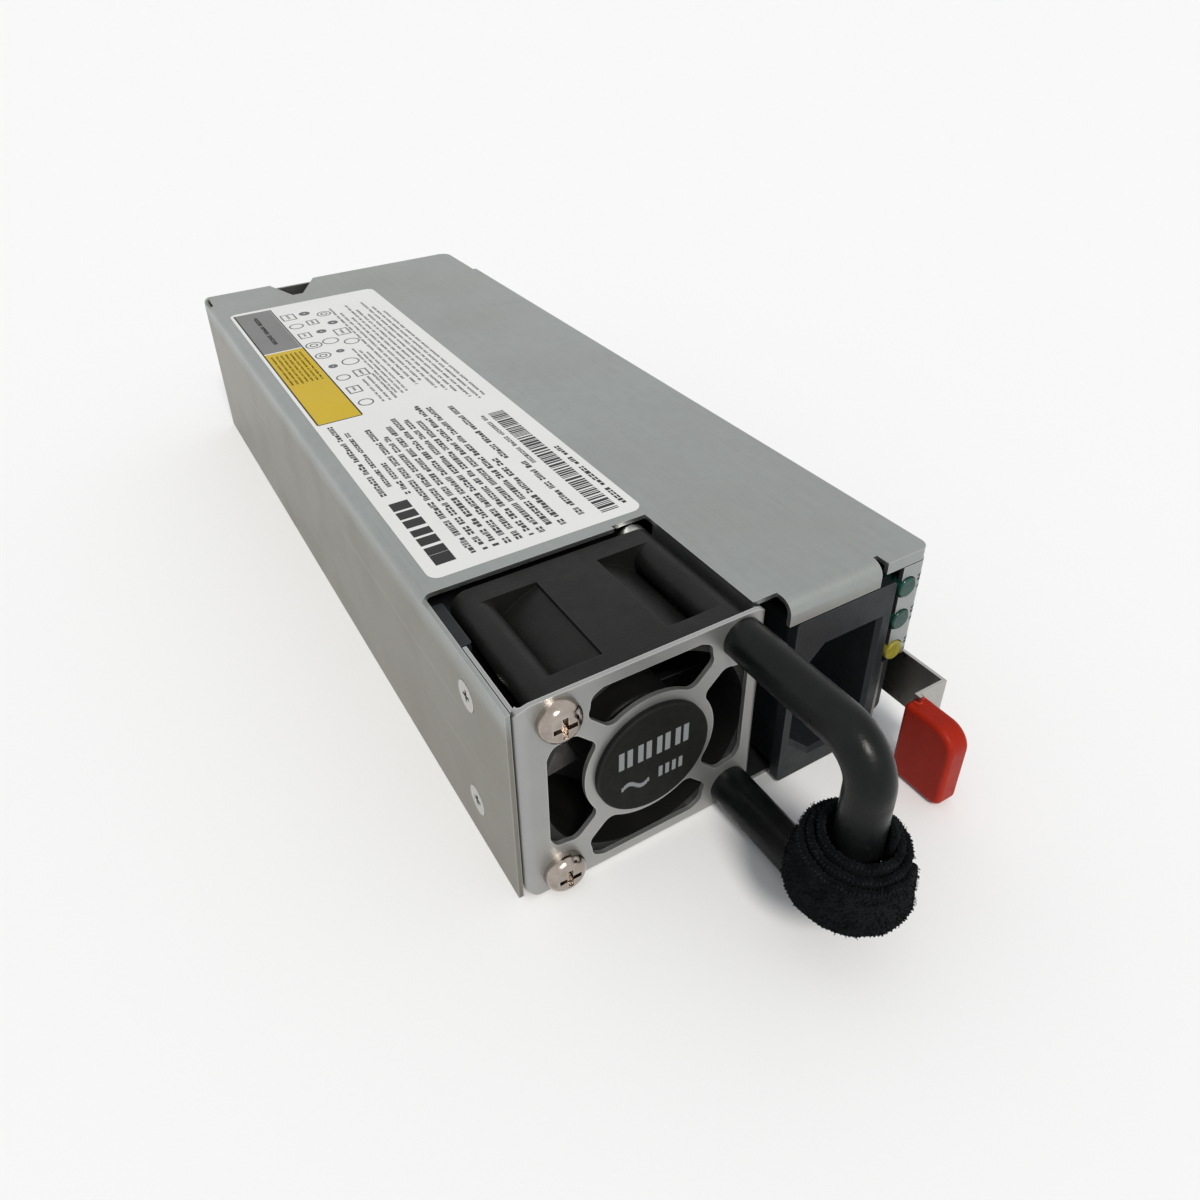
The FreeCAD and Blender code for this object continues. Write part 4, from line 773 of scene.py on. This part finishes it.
def badge_marks():
    """Pale strokes in pairs, a wave and four small strokes in place of the badge's print."""
    low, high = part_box("hub_badge")
    centre = (low + high) / 2
    proud = 0.02 * MM
    sunk = 0.1 * MM
    marks = Blocks()

    def stroke(left, width, foot, top):
        """Adds a stroke, placed in millimetres from the badge's centre."""
        x = centre.x + left * MM
        marks.add(x, x + width * MM, low.y - proud, low.y + sunk,
                  centre.z + foot * MM, centre.z + top * MM)

    for pair in range(4):
        for side in range(2):
            stroke(-6.5 + pair * 3.4 + side * 1.5, 0.95, 0.6, 4.2)
    steps = 12
    step_width = 0.42
    half_line = 0.42
    wave = [math.sin(2 * math.pi * k / steps) * 0.75 - 3.9 for k in range(steps + 1)]
    for k in range(steps):
        middle = (wave[k] + wave[k + 1]) / 2
        stroke(-6.0 + k * step_width, step_width, middle - half_line, middle + half_line)
    for n in range(4):
        stroke(0.8 + n * 1.25, 0.7, -4.6, -2.4)
    ink = paper("badge_ink", (0.20, 0.21, 0.215), 0.6)
    add_piece("badge_marks", marks.vertices, marks.faces, ink, "case")


# Outer radius of the lamp flange's bend, and the bars beside a lamp from top to bottom: the
# degrees round the bend at which each begins and ends.
FOLD_RADIUS = 1.7 * MM
LAMP_BARS = ((2, 70), (2, 30), (42, 70), (8, 62))


def fold_bar(vertices, faces, corner, z0, z1, turn0, turn1):
    """Thin bar that follows the bend of the lamp flange."""
    steps = 8
    half_depth = 0.03 * MM
    base = len(vertices)
    for k in range(steps + 1):
        turn = math.radians(turn0 + (turn1 - turn0) * k / steps)
        for radius in (FOLD_RADIUS - half_depth, FOLD_RADIUS + half_depth):
            x = corner.x + radius * math.sin(turn)
            y = corner.y - radius * math.cos(turn)
            vertices.append((x, y, z0))
            vertices.append((x, y, z1))
    for k in range(steps):
        a = base + 4 * k
        b = a + 4
        faces.append((a + 2, b + 2, b + 3, a + 3))
        faces.append((a, a + 1, b + 1, b))
        faces.append((a, b, b + 2, a + 2))
        faces.append((a + 1, a + 3, b + 3, b + 1))
    end = base + 4 * steps
    faces.append((base, base + 2, base + 3, base + 1))
    faces.append((end, end + 1, end + 3, end + 2))


def lamp_marks(ink):
    """Plain bars round the flange's bend beside each lamp."""
    low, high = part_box("chassis_tray")
    corner = Vector((high.x - FOLD_RADIUS, low.y + FOLD_RADIUS, 0.0))
    first = 1.2 * MM
    pitch = 0.8 * MM
    bar_height = 0.48 * MM
    vertices = []
    faces = []
    for node in ("green_lamps", "amber_lamp"):
        lamp_low, lamp_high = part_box(node)
        radius = (lamp_high.x - lamp_low.x) / 2
        places = [lamp_high.z - radius]
        has_second_lamp = lamp_high.z - lamp_low.z > 3 * radius
        if has_second_lamp:
            places.append(lamp_low.z + radius)
        for z in places:
            for k, (start, end) in enumerate(LAMP_BARS):
                z0 = z + first - k * pitch
                fold_bar(vertices, faces, corner, z0, z0 + bar_height, start, end)
    add_piece("lamp_marks", vertices, faces, ink, "case")


# ---------------------------------------------------------------- strap

# The band: its thickness and width, and the bulge of its rounded edges as a share of the width.
PILE = 0.95 * MM
BAND_WIDTH = 8.3 * MM
EDGE_BULGE = 0.045

# The roll: its growth in a turn, the inner end's radius and direction, and the straight tail.
PITCH = 1.15 * MM
FIRST_RADIUS = 4.5 * MM
HALF_TURNS = 6
START_ANGLE = math.radians(291)
TAIL = 1.7 * MM

# How it hangs: the inner turns' rise, the outer turns' drift and that of their lower edge, the
# lower edge's flare, and the lean of the tail from a share of the length on.
TELESCOPE = 3.0 * MM
SLACK = Vector((-0.6 * MM, -0.3 * MM, 0.0))
SKEW = Vector((-0.6 * MM, 0.55 * MM, 0.0))
FLARE = 0.75 * MM
TAIL_TWIST = 0.85 * MM
TWIST_FROM = 0.93

# How uneven it is: how far its edges wander and the band leans, and the share by which its
# thickness varies, each with the length of noise that runs along the strap.
WANDER = 0.4 * MM
WANDER_RUN = 52.0
BUCKLE = 0.16 * MM
BUCKLE_RUN = 22.0
LUMPS = 0.2
LUMPS_RUN = 150.0

# Where it hangs: round the handle's grip, the outer turns' upper edge near the CAD roll's top.
BAR_RADIUS = 3.5 * MM
HANDLE_LOW, HANDLE_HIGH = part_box("pull_handle")
ROLL_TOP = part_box("strap_roll")[1].z
STRAP_FOOT = Vector(((HANDLE_LOW.x + HANDLE_HIGH.x) / 2, HANDLE_LOW.y + BAR_RADIUS,
                     ROLL_TOP - BAND_WIDTH))


def strap_line(share):
    """Point, outward direction, forward direction and share of the turns run."""
    run = math.pi * HALF_TURNS
    last = FIRST_RADIUS + PITCH / 2 * HALF_TURNS
    length = (FIRST_RADIUS + last) / 2 * run
    along = share * (length + TAIL)
    part = min(along / length, 1.0)
    turned = run * (math.sqrt(FIRST_RADIUS ** 2 + part * (last ** 2 - FIRST_RADIUS ** 2))
                    - FIRST_RADIUS) / (last - FIRST_RADIUS)
    radius = FIRST_RADIUS + PITCH / 2 * turned / math.pi
    theta = START_ANGLE + turned
    outward = Vector((math.cos(theta), math.sin(theta), 0.0))
    forward = Vector((-math.sin(theta), math.cos(theta), 0.0))
    wound = turned / run
    point = STRAP_FOOT + SLACK * wound + outward * radius
    point += forward * max(0.0, along - length)
    return point, outward, forward, wound


def strap_section(steps_high, steps_round):
    """Closed outline of the strap's thickness and height, as shares of each."""
    outline = []
    for n in range(steps_high + 1):
        outline.append((0.5, n / steps_high))
    for n in range(1, steps_round):
        angle = math.pi * n / steps_round
        outline.append((0.5 * math.cos(angle), 1.0 + EDGE_BULGE * math.sin(angle)))
    for n in range(steps_high + 1):
        outline.append((-0.5, 1.0 - n / steps_high))
    for n in range(1, steps_round):
        angle = math.pi * n / steps_round
        outline.append((-0.5 * math.cos(angle), -EDGE_BULGE * math.sin(angle)))
    return outline


def uneven(along, up, layer):
    """Smooth random value between about -1 and 1, with a pattern of its own in each layer."""
    return noise.noise(Vector((along, up, layer)))


def strap_surface(share, across, up):
    """Point on the strap, whose inner turns stand up out of the flared outer ones."""
    point, outward, _, wound = strap_line(share)
    wander = WANDER * uneven(share * WANDER_RUN, 0.0, 3.0)
    thick = PILE * (1.0 + LUMPS * uneven(share * LUMPS_RUN, up * 12.0, 1.0))
    lean = BUCKLE * uneven(share * BUCKLE_RUN, up * 2.0, 7.0)
    below = (1.0 - up) * wound
    lean += FLARE * below
    lean += TAIL_TWIST * (0.5 - up) * max(0.0, share - TWIST_FROM) / (1.0 - TWIST_FROM)
    foot = 0.03
    reach = 0.93
    height = (foot + reach * up) * BAND_WIDTH
    height += wander * (1.0 if up > 0.5 else -0.6)
    height += TELESCOPE * (1.0 - wound) ** 1.5
    return point + SKEW * below + outward * (across * thick + lean) + Vector((0.0, 0.0, height))


def make_strap(finish):
    """Wound band of loop pile, its bound edges and its loose fibres."""
    steps = 560
    section = strap_section(steps_high=16, steps_round=5)
    count = len(section)
    vertices = []
    for i in range(steps + 1):
        for across, up in section:
            vertices.append(strap_surface(i / steps, across, up))
    faces = []
    for i in range(steps):
        for j in range(count):
            k = (j + 1) % count
            faces.append((i * count + j, i * count + k, (i + 1) * count + k,
                          (i + 1) * count + j))
    faces.append(tuple(range(count - 1, -1, -1)))
    faces.append(tuple(steps * count + j for j in range(count)))
    band = add_piece("strap_band", vertices, faces, finish, "strap", True)
    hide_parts("strap_roll")
    strap_edges(loop_pile("strap_binding", (0.0085, 0.0098, 0.0102)))
    strap_fibres(finish)


def strap_edges(finish):
    """Overcast stitches along both edges of the strap."""
    stitches = 215
    steps = 5
    reach = 0.56
    thread_radius = 0.15 * MM
    vertices = []
    faces = []
    chance = random.Random(5)
    for up in (0.0, 1.0):
        for n in range(stitches):
            start = (n + chance.uniform(0.0, 0.5)) / stitches
            end = (n + chance.uniform(0.7, 1.5)) / stitches
            high = chance.uniform(0.04, 0.22) * MM
            points = []
            for step in range(steps + 1):
                turn = math.pi * step / steps
                share = start + (end - start) * step / steps
                lift = high * math.sin(turn) * (1 if up else -1)
                points.append(strap_surface(min(share, 1.0), reach * math.cos(turn), up)
                              + Vector((0.0, 0.0, lift)))
            add_tube(vertices, faces, points, thread_radius, sides=6)
    add_piece("strap_stitches", vertices, faces, finish, "strap", True)


def add_tube(vertices, faces, points, radius, sides):
    """Adds a thin closed tube along points."""
    base = len(vertices)
    for n, point in enumerate(points):
        ahead = points[min(n + 1, len(points) - 1)] - points[max(n - 1, 0)]
        ahead.normalize()
        side = ahead.cross(Vector((0.3, 0.2, 1.0))).normalized()
        other = ahead.cross(side)
        for k in range(sides):
            angle = 2 * math.pi * k / sides
            vertices.append(point + (side * math.cos(angle) + other * math.sin(angle)) * radius)
    for n in range(len(points) - 1):
        for k in range(sides):
            m = (k + 1) % sides
            faces.append((base + n * sides + k, base + n * sides + m,
                          base + (n + 1) * sides + m, base + (n + 1) * sides + k))
    end = base + (len(points) - 1) * sides
    faces.append(tuple(base + k for k in range(sides - 1, -1, -1)))
    faces.append(tuple(end + k for k in range(sides)))


def strap_fibres(finish):
    """Loose fibres that stand out of the pile and its edges, longest on the outermost turn."""
    fibres = 5200
    outermost = 0.56
    rooted = 0.1
    fibre_radius = 0.05 * MM
    chance = random.Random(11)
    vertices = []
    faces = []
    for n in range(fibres):
        share = chance.random() ** 0.7
        up = chance.random()
        _, outward, forward, _ = strap_line(share)
        outside = n % 3 != 0
        across = 0.5 if outside else -0.5
        away = outward if outside else -outward
        if n % 4 == 0:
            up = 1.0 if n % 8 else 0.0
            across = chance.uniform(-0.5, 0.5)
            away = Vector((0.0, 0.0, 1.0 if n % 8 else -1.0))
        root = strap_surface(share, across, up)
        length = chance.uniform(0.14, 0.30) * MM
        if share > outermost and outside:
            length *= 1.4
        lean = forward * chance.uniform(-1, 1) + Vector((0, 0, chance.uniform(-1, 1)))
        middle = root + away * length * 0.8 + lean * length * 0.15
        tip = root + away * length + lean * length * 0.8
        add_tube(vertices, faces, [root - away * rooted * MM, middle, tip], fibre_radius, sides=3)
    add_piece("strap_fibres", vertices, faces, finish, "strap", True)


# ---------------------------------------------------------------- scene

def make_scene():
    """Camera and light first, then the finishes and the pieces."""
    bpy.context.scene.view_settings.view_transform = "Standard"
    make_camera()
    make_world()
    sun("key", strength=2.15, width=16.0, turn=258.0, tilt=44.0, colour=(1.0, 0.965, 0.91))
    make_floor()
    finishes = make_finishes()
    dress_nodes(finishes)
    make_label(finishes)
    badge_marks()
    lamp_marks(bpy.data.materials["label_black"])
    make_strap(finishes["strap_black"])


make_scene()
